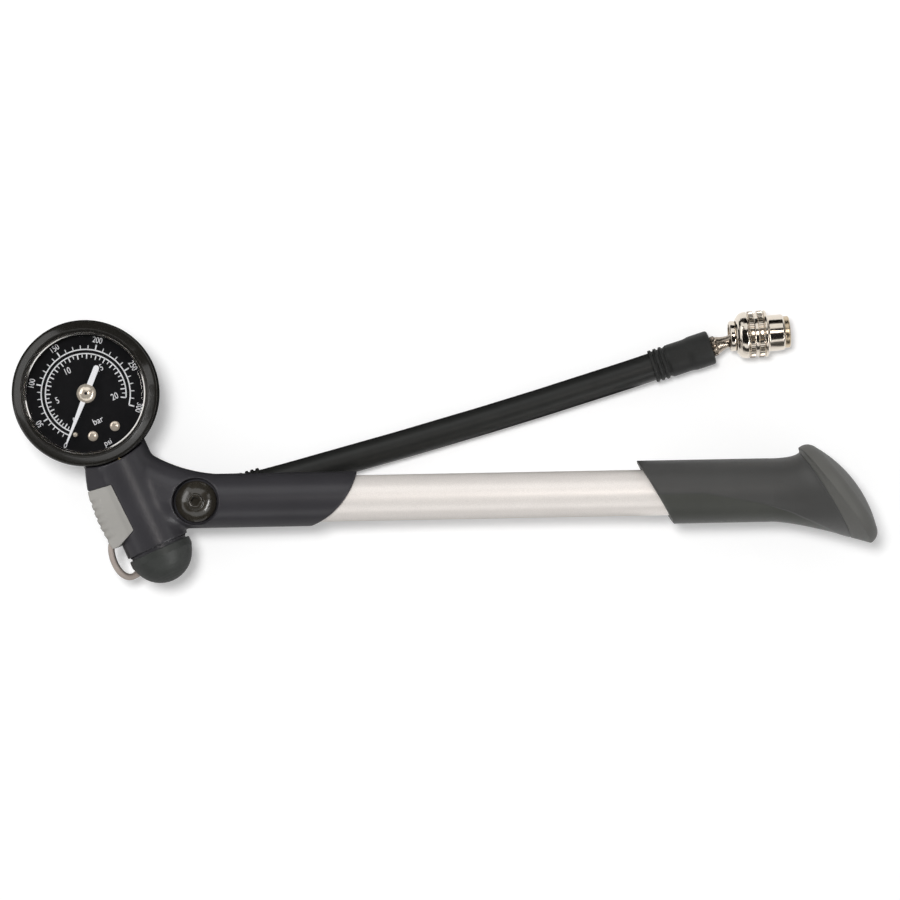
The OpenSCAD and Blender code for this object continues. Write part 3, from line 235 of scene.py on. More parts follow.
def set_points(mesh, points):
    mesh.vertices.foreach_set("co", (points * MM).ravel())
    mesh.update()


# Materials

class Graph:
    """The nodes of a material or world, with links and plain values set on their sockets."""

    def __init__(self, owner):
        owner.use_nodes = True
        self.tree = owner.node_tree
        self.nodes = self.tree.nodes

    def add(self, kind, **settings):
        """A node of that kind."""
        node = self.nodes.new("ShaderNode" + kind)
        for key, value in settings.items():
            setattr(node, key, value)
        return node

    def put(self, value, socket):
        """A link or a plain value on a socket."""
        if isinstance(value, bpy.types.NodeSocket):
            self.tree.links.new(value, socket)
        else:
            socket.default_value = value

    def set(self, node, **inputs):
        """Links or values on a node's sockets, by their names with _ for a space."""
        for key, value in inputs.items():
            self.put(value, node.inputs[key.replace("_", " ")])
        return node

    def join(self, kind, *inputs, **settings):
        """The output of a node of that kind, with links or values on its sockets in their order."""
        node = self.add(kind, **settings)
        for value, socket in zip(inputs, node.inputs):
            self.put(value, socket)
        return node.outputs[0]

    def noise(self, size, detail=3, stretch=None):
        """A noise of features that size, in millimetres of the piece."""
        place = self.add("TexCoord").outputs["Object"]
        if stretch:
            place = self.set(self.add("Mapping"), Vector=place, Scale=stretch).outputs["Vector"]
        node = self.set(self.add("TexNoise"), Vector=place, Scale=1 / (size * MM), Detail=detail)
        return node.outputs["Fac"]

    def span(self, value, low, high, start=0.3, end=0.7):
        """A value's stretch from start to end as one from low to high."""
        node = self.add("MapRange")
        self.set(node, Value=value, From_Min=start, From_Max=end, To_Min=low, To_Max=high)
        return node.outputs["Result"]

    def mix(self, factor, a, b):
        """One colour turning into another by a factor."""
        node = self.add("Mix", data_type="RGBA")
        for key, value in ((0, factor), (6, a), (7, b)):
            self.put(value, node.inputs[key])
        return node.outputs[2]

    def seen_directly(self):
        """1 for rays from the camera, and for those that metal and glass send on."""
        path = self.add("LightPath").outputs
        total = path["Is Camera Ray"]
        for name in ("Is Glossy Ray", "Is Transmission Ray"):
            total = self.join("Math", total, path[name], operation="MAXIMUM")
        return total

    def bump(self, height, depth):
        """A relief of that depth, in millimetres."""
        node = self.set(self.add("Bump"), Height=height, Distance=depth * MM, Strength=1)
        return node.outputs["Normal"]


def shade(colour, factor):
    """A colour made lighter or darker, with its alpha."""
    return (*[min(max(c * factor, 0), 1) for c in colour[:3]], 1)


def surface(colour, rough, metal=0, mottle=0.08, mottle_size=9, grain_size=0.35, grain_depth=0.012,
            rough_spread=0.06, coat=0, coat_rough=0.1, specular=0.5, speckle=0, stretch=None, painted_shade=None):
    """A finish with clouded colour, a fine grain, and a roughness that varies over it.

    speckle adds light and dark flecks, and a second colour, painted shade, goes where the mesh's attribute
    asks for it.
    """
    material = bpy.data.materials.new("finish")
    g = Graph(material)
    shader = g.nodes["Principled BSDF"]
    cloud = g.span(g.noise(mottle_size, 4, stretch), 0, 1)
    tint = g.mix(cloud, shade(colour, 1 - mottle), shade(colour, 1 + mottle))
    grain = g.noise(grain_size, 2, stretch)
    if speckle:
        fleck = g.span(grain, 0, 1, 0.35, 0.65)
        lit = g.mix(cloud, shade(colour, 1 + speckle), shade(colour, 1 + speckle + mottle))
        dim = g.mix(cloud, shade(colour, 1 - speckle - mottle), shade(colour, 1 - speckle))
        tint = g.mix(fleck, dim, lit)
    # The darker second colour, where the mesh's attribute asks for it, is painted shade.
    if painted_shade:
        where = g.add("Attribute", attribute_name="painted_shade").outputs["Fac"]
        other = g.mix(cloud, shade(painted_shade, 1 - mottle), shade(painted_shade, 1 + mottle))
        tint = g.mix(where, tint, other)
    g.set(shader, Base_Color=tint, Metallic=metal, Specular_IOR_Level=specular)
    g.set(shader, Roughness=g.span(grain, max(rough - rough_spread, 0.02), rough + rough_spread))
    g.set(shader, Normal=g.bump(grain, grain_depth))
    if coat:
        g.set(shader, Coat_Weight=coat, Coat_Roughness=coat_rough)
    return material


def clear_lens():
    """A thin clear pane: its outside mirrors more at a slant, and the lamps reach the dial through it."""
    material = bpy.data.materials.new("finish")
    g = Graph(material)
    g.nodes.remove(g.nodes["Principled BSDF"])
    smear = g.span(g.noise(6, 3), 0.015, 0.05)
    pane = g.join("BsdfTransparent", (0.99, 0.99, 0.99, 1))
    gloss = g.join("BsdfGlossy", (1, 1, 1, 1), smear)
    outside = g.join("MixShader", g.join("Fresnel", 1.46), pane, gloss)
    inner_side = g.add("NewGeometry").outputs["Backfacing"]
    g.set(g.nodes["Material Output"], Surface=g.join("MixShader", inner_side, outside, pane))
    return material


FINISH = {
    "gauge_black": surface((0.03, 0.03, 0.031), 0.36, coat=0.3, grain_depth=0.006),
    "bezel_black": surface((0.014, 0.0128, 0.0105), 0.22, coat=0.6, coat_rough=0.08, grain_depth=0.003),
    "lens_clear": clear_lens(),
    "dial_black": surface((0.006, 0.006, 0.007), 0.62, grain_depth=0.004, specular=0.2),
    "pointer_white": surface((0.88, 0.88, 0.9), 0.45, mottle=0.03, grain_depth=0.004),
    "nickel": surface((0.98, 0.84, 0.7), 0.18, metal=0.6, mottle_size=2, grain_size=0.2, grain_depth=0.006),
    "coupler_nickel": surface((0.74, 0.67, 0.58), 0.14, metal=1, mottle=0.04, mottle_size=2, grain_size=0.25,
                              grain_depth=0.002, rough_spread=0.03),
    "brass": surface((0.66, 0.5, 0.24), 0.3, metal=1, mottle_size=3, grain_size=0.25, grain_depth=0.006),
    "steel": surface((0.56, 0.56, 0.57), 0.32, metal=1, mottle_size=3, grain_size=0.25, grain_depth=0.006),
    "rod_chrome": surface((0.74, 0.74, 0.76), 0.1, metal=1, mottle=0.03, stretch=(0.05, 1, 1),
                          grain_depth=0.002, rough_spread=0.04),
    "head_charcoal": surface((0.037, 0.0355, 0.04), 0.36, mottle_size=14, grain_size=0.3),
    # The pad's darker second colour is painted shade in the grooves of its ribs
    "pad_grey": surface((0.345, 0.335, 0.315), 0.7, mottle=0.05, grain_size=0.3, grain_depth=0.02,
                        specular=0.3, painted_shade=(0.27, 0.258, 0.24)),
    "loop_taupe": surface((0.4, 0.345, 0.31), 0.62, grain_size=0.4, grain_depth=0.03),
    "button_grey": surface((0.034, 0.037, 0.034), 0.46, mottle_size=7, grain_size=0.3),
    "bolt_black": surface((0.03, 0.026, 0.02), 0.2, mottle=0.2, mottle_size=2, grain_depth=0.008, coat=0.6,
                          coat_rough=0.1),
    "barrel_silver": surface((0.945, 0.89, 0.845), 0.4, metal=0.3, mottle=0.02, speckle=0.03, grain_size=0.3,
                             grain_depth=0.006, rough_spread=0.04),
    # The handle's darker, greener second colour is painted shade below its crease
    "handle_grey": surface((0.057, 0.0565, 0.0545), 0.5, mottle_size=16, grain_size=0.3,
                           painted_shade=(0.051, 0.053, 0.046)),
    "palm_grey": surface((0.109, 0.108, 0.1), 0.62, mottle=0.05, grain_size=0.35, grain_depth=0.02),
    "hose_black": surface((0.014, 0.0145, 0.0135), 0.42, mottle=0.12, mottle_size=5, grain_size=0.5,
                          grain_depth=0.02),
    "ferrule_black": surface((0.013, 0.0135, 0.0125), 0.58, mottle=0.12, mottle_size=4, grain_depth=0.02),
    "piston_white": surface((0.66, 0.64, 0.59), 0.5, mottle=0.04),
    "guide_black": surface((0.024, 0.024, 0.027), 0.45),
    "seal_black": surface((0.013, 0.013, 0.013), 0.6),
    # These aren't slots of the record: the stem, some faces, and cards of the stage
    # The stem's nickel, far darker than the hub's, is painted shade
    "shaded_stem_nickel": surface((0.4, 0.34, 0.28), 0.26, metal=1, mottle=0.15, mottle_size=1.5, grain_size=0.2,
                           grain_depth=0.006),
    "mouth_brass": surface((0.6, 0.49, 0.35), 0.24, metal=1, mottle_size=2, grain_size=0.2,
                           grain_depth=0.005),
    "window_bevel": surface((0.86, 0.84, 0.81), 0.1, metal=1, mottle_size=3, grain_size=0.2,
                            grain_depth=0.002),
    "card_black": surface((0.012, 0.012, 0.012), 0.9, specular=0),
    "card_grey": surface((0.4, 0.4, 0.4), 0.9, specular=0),
}
for name, material in FINISH.items():
    material.name = name
for node, slot in SLOT_OF.items():
    mesh = NODES[node].data
    mesh.materials.clear()
    mesh.materials.append(FINISH[slot])


# Hose, with its ferrules

def hose_rows(steps=5, sides=64):
    """Rings along a smooth line through the route."""
    far = [2 * ROUTE[0] - ROUTE[1]] + ROUTE + [2 * ROUTE[-1] - ROUTE[-2]]
    line = []
    for p, q, r, w in zip(far, far[1:], far[2:], far[3:]):
        for i in range(steps):
            t = i / steps
            line.append((2 * q + (r - p) * t + (2 * p - 5 * q + 4 * r - w) * t * t
                         + (3 * q - p - 3 * r + w) * t ** 3) / 2)
    line.append(ROUTE[-1])
    rows = []
    for i, place in enumerate(line):
        ahead = (line[min(i + 1, len(line) - 1)] - line[max(i - 1, 0)]).normalized()
        side = UP.cross(ahead).normalized()
        up = ahead.cross(side)
        rows.append([place + HOSE_R * (math.cos(a) * side + math.sin(a) * up) for a in full_turn(sides)])
    return rows


def ferrule_profile(length, hole, collar):
    """Three rounded rings at the hose's end, then a smooth sleeve with a thicker collar at its far end."""
    pitch, depth, r = 1.55, 0.5, 4.72
    rings = []
    for i in range(3):
        z = i * pitch
        rings += [(z, r - 0.25), (z + 0.1, r), (z + 0.85, r), (z + 1, r - depth),
                  (z + pitch - 0.1, r - depth)]
    sleeve = [(3 * pitch + 0.5, r - 0.05), (0.6 * length, r - 0.08), (0.68 * length, r + collar),
              (length, r + collar)]
    return rounded([(0, hole)] + rings + sleeve + [(length, hole)], 0.8, 6)


# The elbow's reach from the pivot to the rear ferrule
ELBOW_REACH = 6.9
REAR_LEN = (ROUTE[0] - HOSE_START).length - ELBOW_REACH
FERRULE_LOOK = {"sides": 96, "closed": True, "sharp": 60}
hose = make_piece("hose_tube", grid(hose_rows()), "hose_line", "hose_black", ["hose"])
add_turned("front_ferrule_sleeve", ferrule_profile(FERRULE_LEN, 2.42, 0.22), "hose_line", "ferrule_black",
           "front_ferrule", ROUTE[-1], END_DIR, **FERRULE_LOOK)
add_turned("rear_ferrule_sleeve", ferrule_profile(REAR_LEN, 3.22, 0), "hose_line", "ferrule_black",
           "rear_ferrule", ROUTE[0], -START_DIR, **FERRULE_LOOK)


# Coupler and its stem

# The stem's toothed ring, along the stem and out from its axis
STEM_TEETH = 14
STEM_TOOTH_DEPTH = 0.35
STEM_RING = (0.1, 1.5)
STEM_RING_R = 2.6
# The coupler's knurled bands, and the brass in its mouth and socket, along it from the bulb
KNURL_TEETH = 64
KNURL_DEPTH = 0.24
KNURL_R = 6.7
KNURL_BANDS = ((0.1, 1.85), (2.7, 4.47))
MOUTH_START = 10.4
BRASS_R = 4.2


def teeth(count, depth, angle):
    """A row of flat-topped teeth."""
    return -depth * (0.5 - 0.5 * min(max(2.4 * math.cos(count * angle), -1), 1))


def stem_wave(along, radius, angle):
    on_ring = radius > STEM_RING_R and STEM_RING[0] < along < STEM_RING[1]
    return teeth(STEM_TEETH, STEM_TOOTH_DEPTH, angle) if on_ring else 0


def knurl_wave(along, radius, angle):
    on_band = radius > KNURL_R - 0.2 and any(low < along < high for low, high in KNURL_BANDS)
    return teeth(KNURL_TEETH, KNURL_DEPTH, angle) if on_band else 0


def stem_profile():
    """Barb, toothed ring, hourglass neck and the bulb that the coupler turns on."""
    bulb_r = 3.9
    neck = [(0, 2.4), (0.05, 2.5), (0.25, 2.85), (1.35, 2.85), (1.6, 2.5), (2.3, 2.3), (3.2, 1.95),
            (4.2, 1.72), (5.2, 1.65), (6, 1.78), (6.8, 2.05), (7.5, 2.35)]
    bulb = []
    for i in range(13):
        angle = math.radians(142 - 88 * i / 12)
        bulb.append((STEM_LEN + bulb_r * math.cos(angle), bulb_r * math.sin(angle)))
    return rounded([(1 - FERRULE_LEN, 2.4)] + neck + bulb, 0.2, 3)


def coupler_profile():
    """Domed flange, two knurled bands, a collar, the plain nose, the mouth ring and the socket inside."""
    flange = [(-3.35, 4.9), (-3.1, 5.1), (-2.7, 5.75), (-2.1, 6.25), (-1.4, 6.55), (-0.6, 6.68), (-0.2, 6.62)]
    bands = []
    for low, high in KNURL_BANDS:
        bands += [(low - 0.15, KNURL_R - 0.5), (low + 0.02, KNURL_R - 0.5), (low + 0.15, KNURL_R),
                  (high - 0.15, KNURL_R), (high - 0.02, KNURL_R - 0.5)]
    nose = [(4.62, 6.2), (4.75, 6.66), (5.3, 6.66), (5.55, 6.2), (5.75, 5.3), (6, 5.2), (9.9, 5.12),
            (10.3, 4.85)]
    mouth = [(10.42, 4.5), (11.6, 4.55), (11.9, 4.3), (11.9, 4.05), (11.65, 3.9), (5.7, 3.9), (5.7, 4.3),
             (-3.35, 4.3)]
    return rounded(flange + bands + nose + mouth, 0.12, 3)


def coupler_cap_profile():
    """The bead that closes the coupler round its stem."""
    return rounded([(-3.35, 3.5), (-5.35, 3.5), (-5.35, 3.9), (-4.9, 4.35), (-3.9, 4.35), (-3.45, 4.1),
                    (-3.35, 4.0)], 0.4, 5)


def in_mouth(place):
    """Whether a place on the coupler lies in its mouth or its socket."""
    offset = place - BULB
    along = offset.dot(COUPLER_DIR)
    return along > MOUTH_START or (offset - along * COUPLER_DIR).length < BRASS_R


stem = add_turned("coupler_stem_neck", stem_profile(), "hose_line", "nickel", "coupler_stem", FERRULE_END,
                  END_DIR, sides=112, wave=stem_wave, sharp=40)
# The stem takes the darker nickel: painted shade.
stem.data.materials[0] = FINISH["shaded_stem_nickel"]
coupler = add_turned("coupler_sleeve", coupler_profile(), "coupler", "coupler_nickel", "coupler_body", BULB,
                     COUPLER_DIR, sides=384, wave=knurl_wave, closed=True, sharp=40)
second_finish(coupler, "mouth_brass", in_mouth)
add_turned("coupler_rear_cap", coupler_cap_profile(), "coupler", "coupler_nickel", "coupler_cap", BULB,
           COUPLER_DIR, closed=True, sharp=40)


# Handle and palm pad, along the barrel from the pivot, across it and up from its axis

GRIP_R = 9.1
HANDLE_START = 129.3
HANDLE_CUT = math.tan(math.radians(29.8))
HANDLE_BORE = 6.8
HANDLE_FLOOR = 162.5
ROD_HOLE = 3.02
ROD_END = 168.1
FLARE_U = 161.3
PALM_R = 16.9
PALM_C = np.array((FLARE_U + 18.7, -1.7))
PALM_TILT = math.radians(36)
PALM_NORMAL = np.array((math.cos(PALM_TILT), math.sin(PALM_TILT)))
PALM_ACROSS = np.array((-math.sin(PALM_TILT), math.cos(PALM_TILT)))
PALM_FACE_R = 36
PALM_RIM = 2.7
PALM_ROUND = 2.3
PALM_EDGE = math.asin((PALM_R - 0.4) / PALM_FACE_R)
SEAM_U = FLARE_U + 14.9
SEAM_TILT = math.radians(30.2)
# The seam's groove: how far each side keeps from it, and how deep it is
SEAM_LIP = 0.3
SEAM_DEPTH = 0.25
ANGLES = full_turn(256)
# The crease that sweeps from the sleeve's cut down to the lower lip, and the step below it, which also takes
# a darker, greener colour as painted shade
CREASE = ((121, -0.4), (142.3, -0.4), (150.3, -1.8), (158.3, -3.4), (166.3, -5.9), (174.3, -9.6),
          (182.3, -13.5), (191, -18))
CREASE_STEP = 0.22


def quadratic(p, q, r, t):
    """A point of the curve from p to r that q draws towards itself."""
    return (1 - t) ** 2 * np.array(p) + 2 * t * (1 - t) * np.array(q) + t * t * np.array(r)


def flare(t, angle):
    """A point of the handle's flare, as (along, across, height) from the pivot and the barrel's axis."""
    start_r = GRIP_R - 0.04
    high = quadratic((FLARE_U, start_r), (FLARE_U + 10.4, start_r), PALM_C + PALM_R * PALM_ACROSS, t)
    low = quadratic((FLARE_U, -start_r), (FLARE_U + 7.5, -start_r), PALM_C - PALM_R * PALM_ACROSS, t)
    middle, half = (high + low) / 2, (high - low) / 2
    u, v = middle + half * math.cos(angle)
    return np.array((u, v, np.linalg.norm(half) * math.sin(angle)))


def past_seam(p):
    """How far a point lies on the palm pad's side of its seam."""
    return (p[0] - SEAM_U) * math.cos(SEAM_TILT) + p[1] * math.sin(SEAM_TILT)


@functools.lru_cache(None)
def seam_t(angle, offset):
    """Where the flare's line at that angle comes within an offset of the seam."""
    low, high = 0.0, 1.0
    for _ in range(30):
        t = (low + high) / 2
        low, high = (t, high) if past_seam(flare(t, angle)) < offset else (low, t)
    return low


def crease_tone(p):
    """1 below the crease and 0 above it, for the step there and for the painted shade below the crease."""
    edge = np.interp(p[0], *zip(*CREASE))
    return smooth_step(-0.25, 0.25, edge - p[1])


def sink(p, middle, depth):
    """A point drawn towards a middle by a depth."""
    inward = middle - p
    return p + inward / np.linalg.norm(inward) * depth


def on_barrel(rows):
    """Rings of points from the pivot and the barrel's axis, in the frame of the part."""
    return [[PIVOT + Vector((p[0], p[1], p[2] + AXIS_H)) for p in row] for row in rows]


def cut_row(r, offset):
    """A ring along the sleeve's slanting cut."""
    row = []
    for angle in ANGLES:
        v = r * math.cos(angle)
        row.append(np.array((HANDLE_START - v * HANDLE_CUT + offset, v, r * math.sin(angle))))
    return row


def round_row(u, r):
    """A ring square to the barrel."""
    return [np.array((u, r * math.cos(a), r * math.sin(a))) for a in ANGLES]


def handle_rows():
    """Rod hole, bore, slanting cut, then the sleeve and the flare up to the palm pad's seam."""
    sleeve_steps, flare_steps = 44, 40
    rows = [round_row(ROD_END, ROD_HOLE), round_row(HANDLE_FLOOR, ROD_HOLE)]
    rows += [round_row(HANDLE_FLOOR, HANDLE_BORE), cut_row(HANDLE_BORE, 0.35), cut_row(HANDLE_BORE + 0.2, 0)]
    rows += [cut_row(GRIP_R - 0.35, 0), cut_row(GRIP_R - 0.1, 0.1)]
    start = cut_row(GRIP_R, 0.35)
    outer = []
    for i in range(sleeve_steps + 1):
        outer.append([p + (np.array((FLARE_U, p[1], p[2])) - p) * i / sleeve_steps for p in start])
    for i in range(1, flare_steps + 1):
        outer.append([flare(seam_t(a, -SEAM_LIP) * i / flare_steps, a) for a in ANGLES])
    for row in outer:
        middle = sum(row) / len(row)
        rows.append([sink(p, middle, CREASE_STEP * crease_tone(p)) for p in row])
    ends = [flare(seam_t(a, 0), a) for a in ANGLES]
    middle = sum(ends) / len(ends)
    rows.append([sink(p, middle, SEAM_DEPTH + CREASE_STEP * crease_tone(p)) for p in ends])
    return rows


def palm_point(angle, r, rise):
    """A point of the palm's face, out from its middle and up from its rim's plane."""
    return np.array((*(PALM_C + rise * PALM_NORMAL + r * math.cos(angle) * PALM_ACROSS), r * math.sin(angle)))


def face_rise(part):
    """The rise of the palm's round face, at an angle from the face's middle."""
    return PALM_RIM + PALM_FACE_R * (math.cos(part) - math.cos(PALM_EDGE))


def palm_rows():
    """The pad's side from its seam on, its round rim, and its crowned face."""
    side_steps, rim_steps, face_steps, side_end = 10, 8, 36, 0.995
    starts = [flare(seam_t(a, 0), a) for a in ANGLES]
    middle = sum(starts) / len(starts)
    rows = [[sink(p, middle, SEAM_DEPTH) for p in starts]]
    for i in range(side_steps + 1):
        row = []
        for a in ANGLES:
            first = min(seam_t(a, SEAM_LIP), 1)
            row.append(flare(first + (side_end - first) * i / side_steps, a))
        rows.append(row)
    first_face = math.asin((PALM_R - PALM_ROUND) / PALM_FACE_R)
    rim = ((PALM_R - 0.03, 0.2), (PALM_R - 0.1, PALM_RIM), (PALM_R - PALM_ROUND, face_rise(first_face)))
    for i in range(rim_steps + 1):
        r, rise = quadratic(*rim, i / rim_steps)
        rows.append([palm_point(a, r, rise) for a in ANGLES])
    for i in range(1, face_steps + 1):
        part = first_face * (1 - i / face_steps)
        r = max(PALM_FACE_R * math.sin(part), 0.05)
        rows.append([palm_point(a, r, face_rise(part) - 0.05) for a in ANGLES])
    return rows


handle = make_piece("handle_shell", grid(on_barrel(handle_rows())), "handle", "handle_grey", ["handle_body"],
                    sharp=30)
# Below the crease the handle takes its darker, greener colour: painted shade.
set_tone(handle.data, [crease_tone(vert.co / MM - PIVOT) for vert in handle.data.vertices])
make_piece("palm_moulding", grid(on_barrel(palm_rows())), "handle", "palm_grey", ["palm_pad"], sharp=30)


# Head, grip pad and loop

# What keeps its shape in the head: the gauge's, the bolt's and the elbow's seats, the head tube's and the
# barrel's bores, the pad's pocket and the lower end
GAUGE_SEAT_R = 21.6
BOLT_SEAT_R, BOLT_SEAT_RISE = 7.8, 1
ELBOW_SEAT_R, ELBOW_SEAT_RISE = 8, -6
HEAD_BORE_R, HEAD_BORE_START = 8.2, 20
BARREL_BORE_R, BARREL_BORE_START = 7, 7
POCKET_SPAN, POCKET_ACROSS = (23.6, 44.4), -3
LOWER_END = 46.2
# Where the bleed button runs in the head's lower end, along the head tube and out from its axis
RIM_START, HEAD_END = 46.8, 47.22
FLOOR_SPAN, FLOOR_R, BUTTON_FLOOR = (43.4, 44.6), 6.3, 43.85
BORE_START, BORE_ZONE, BUTTON_BORE = 43.6, (6, 7.2), 6.6
SPIGOT_START, SPIGOT_INNER, SPIGOT_R = 47.45, 7.6, 8.22
# The pad's outer curve and its ribs, along and across the head tube
GRIP_BEND = 42
GRIP_MID = 34.75
GRIP_BULGE = 12
RIB_PITCH = 2.17
RIB_SPAN = (27.76, 40.78)
RIB_FADE = 0.4
RIB_REACH = 2.8
RIB_FULL = 0.2
RIB_DEPTH = 0.52
RIB_SLANT = 0.4
# The loop's control points, along the head tube and out from its axis, and its strap's half width and
# thickness. It swings a quarter turn round the tube, most of it late.
LOOP_POINTS = ((40.5, HEAD_R + 1.5), (43.5, HEAD_R + 6.8), (64.4, HEAD_R + 3.7), (41.5, HEAD_R + 0.6))
LOOP_HALF_W = 2
LOOP_HALF_T = 0.85
LOOP_SWING = math.radians(90)
LOOP_LATE = 2.2


def remeshed(node, voxel):
    """A copy of a node's mesh as even quads."""
    copy = NODES[node].copy()
    copy.data = NODES[node].data.copy()
    scene.collection.objects.link(copy)
    remesh = copy.modifiers.new("remesh", "REMESH")
    remesh.mode = "VOXEL"
    remesh.voxel_size = voxel * MM
    graph = bpy.context.evaluated_depsgraph_get()
    mesh = bpy.data.meshes.new_from_object(copy.evaluated_get(graph))
    bpy.data.objects.remove(copy)
    return mesh


NORMALS_EVERY = 8


def relax(mesh, rounds, fill, wear):
    """Evens the mesh out. fill and wear say how far each point's hollows fill up and its edges wear down."""
    points = points_of(mesh)
    count = len(points)
    ends = np.empty(len(mesh.edges) * 2, int)
    mesh.edges.foreach_get("vertices", ends)
    a, b = ends[0::2], ends[1::2]
    degree = np.maximum(np.bincount(ends, minlength=count), 1)
    normals = np.empty(count * 3)
    for turn in range(rounds):
        if turn % NORMALS_EVERY == 0:
            set_points(mesh, points)
            mesh.vertices.foreach_get("normal", normals)
        pull = np.empty_like(points)
        for k in range(3):
            total = np.bincount(a, points[b, k], count) + np.bincount(b, points[a, k], count)
            pull[:, k] = total / degree - points[:, k]
        hollow = (pull * normals.reshape(-1, 3)).sum(1) > 0
        points += 0.5 * pull * np.where(hollow, fill, wear)[:, None]
    set_points(mesh, points)


def head_places(points):
    """For each point: along the head tube, across it, up from its axis, along and across the barrel."""
    rise = points[:, 2] - AXIS_H
    along = points @ np.array(HEAD_DOWN)
    across = points @ np.array(HEAD_ACROSS)
    return along, across, rise, points[:, 0] - PIVOT.x, points[:, 1] - PIVOT.y


def between(values, low, high):
    return (values > low) & (values < high)


def head_mesh():
    """The head with its webs run together, while its seats, bores and pockets stay as they are."""
    mesh = remeshed("head_body", 0.3)
    points = points_of(mesh)
    along, across, rise, u, v = head_places(points)
    held = np.hypot(points[:, 0], points[:, 1]) < GAUGE_SEAT_R
    held |= (np.hypot(u, v) < BOLT_SEAT_R) & (rise > BOLT_SEAT_RISE)
    held |= (np.hypot(u, v) < ELBOW_SEAT_R) & (rise < ELBOW_SEAT_RISE)
    held |= (np.hypot(across, rise) < HEAD_BORE_R) & (along > HEAD_BORE_START)
    held |= (np.hypot(v, rise) < BARREL_BORE_R) & (u > BARREL_BORE_START)
    held |= (across < POCKET_ACROSS) & between(along, *POCKET_SPAN)
    held |= along > LOWER_END
    relax(mesh, 90, np.where(held, 0, 1.0), np.where(held, 0, 0.02))
    relax(mesh, 5, np.full(len(points), 0.8), np.full(len(points), 0.6))
    clear_button(mesh)
    return mesh


def clear_button(mesh):
    """Trues the even mesh where the bleed button runs, so that it clears the button over its travel."""
    points = points_of(mesh)
    along, across, rise, _, _ = head_places(points)
    out = np.hypot(across, rise)
    rim = (along > RIM_START) & between(out, SPIGOT_R + 0.2, HEAD_R + 0.15)
    floor = between(along, *FLOOR_SPAN) & (out < FLOOR_R)
    bore = (along > BORE_START) & between(out, *BORE_ZONE)
    spigot = (along > SPIGOT_START) & between(out, SPIGOT_INNER, SPIGOT_R + 0.3)
    past_end = np.where(rim, np.maximum(along - HEAD_END, 0), 0)
    past_floor = np.where(floor, np.maximum(along - BUTTON_FLOOR, 0), 0)
    true = np.where(bore, np.maximum(out, BUTTON_BORE), out)
    true = np.where(spigot, np.minimum(true, SPIGOT_R), true)
    spread = (true / np.maximum(out, 0.1) - 1)[:, None]
    points += spread * (across[:, None] * np.array(HEAD_ACROSS) + rise[:, None] * np.array(UP))
    points -= (past_end + past_floor)[:, None] * np.array(HEAD_DOWN)
    set_points(mesh, points)


def pad_mesh():
    """The pad with its face run together, and ribs pressed into its outer edge, with painted shade in their
    grooves.
    """
    mesh = remeshed("grip_pad", 0.15)
    count = len(mesh.vertices)
    relax(mesh, 70, np.full(count, 1.0), np.full(count, 0.02))
    relax(mesh, 4, np.full(count, 0.8), np.full(count, 0.7))
    points = points_of(mesh)
    along, across, rise, _, _ = head_places(points)
    edge = across + np.sqrt(GRIP_BEND ** 2 - (along - GRIP_MID) ** 2) - GRIP_BEND + GRIP_BULGE
    near = np.clip((RIB_REACH - edge) / (RIB_REACH - RIB_FULL), 0, 1)
    start, end = RIB_SPAN
    inside = np.clip((along - start) / RIB_FADE, 0, 1) * np.clip((end - along) / RIB_FADE, 0, 1)
    groove = (0.5 - 0.5 * np.cos(2 * np.pi * (along - start) / RIB_PITCH)) * near * inside
    inward = RIB_SLANT * np.array(HEAD_ACROSS) - np.sign(rise)[:, None] * np.array(UP)
    set_points(mesh, points + RIB_DEPTH * groove[:, None] * inward)
    # The grooves also take the pad's darker colour: painted shade.
    set_tone(mesh, groove ** 2)
    return mesh


def loop_rows():
    """The loop's path out of the pad, round behind the button and back, with a rounded strap section."""
    steps, sides = 72, 24
    path = []
    for i in range(steps + 1):
        t = i / steps
        blend = ((1 - t) ** 3, 3 * t * (1 - t) ** 2, 3 * t * t * (1 - t), t ** 3)
        along, out = (sum(w * p[k] for w, p in zip(blend, LOOP_POINTS)) for k in (0, 1))
        turn = LOOP_SWING * t ** LOOP_LATE
        path.append(Vector((-out * math.cos(turn), -out * math.sin(turn), along)))
    rows = []
    for i, place in enumerate(path):
        ahead = (path[min(i + 1, steps)] - path[max(i - 1, 0)]).normalized()
        flat = ahead.cross(Vector((place.x, place.y, 0))).normalized()
        side = Vector((0, -1, 0)).lerp(flat, smooth_step(0.6, 1, i / steps))
        side = (side - side.dot(ahead) * ahead).normalized()
        thick = side.cross(ahead)
        row = []
        for angle in full_turn(sides):
            c, s = math.cos(angle), math.sin(angle)
            w = LOOP_HALF_W * math.copysign(abs(c) ** 0.45, c)
            t = LOOP_HALF_T * math.copysign(abs(s) ** 0.6, s)
            p = place + w * side + t * thick
            row.append(p.x * HEAD_ACROSS + p.y * UP + p.z * HEAD_DOWN + AXIS_H * UP)
        rows.append(row)
    return rows


add_piece("head_shell", head_mesh(), "pump_body", "head_charcoal", ["head_body"], sharp=50)
add_piece("grip_pad_moulding", pad_mesh(), "pump_body", "pad_grey", ["grip_pad"], sharp=50)
make_piece("lanyard_strap", grid(loop_rows()), "pump_body", "loop_taupe", ["lanyard_loop"], sharp=60)


# Springs

def add_spring(name, node, axis):
    """The node's coil as a piece with a mesh of its own, and its foot, the point least far along the axis."""
    mesh = NODES[node].data.copy()
    points = points_of(mesh)
    reach = points @ np.array(axis)
    foot = [float(c) * MM for c in points[reach.argmin()]]
    piece = add_piece(name, mesh, "pump_body", SLOT_OF[node], [node], sharp=50)
    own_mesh(piece)


add_spring("bleed_coil", "bleed_spring", HEAD_DOWN)
add_spring("check_coil", "check_spring", Vector((1, 0, 0)))


# Bezel, lens, hub, screws and bolt, as profiles of (height, radius)

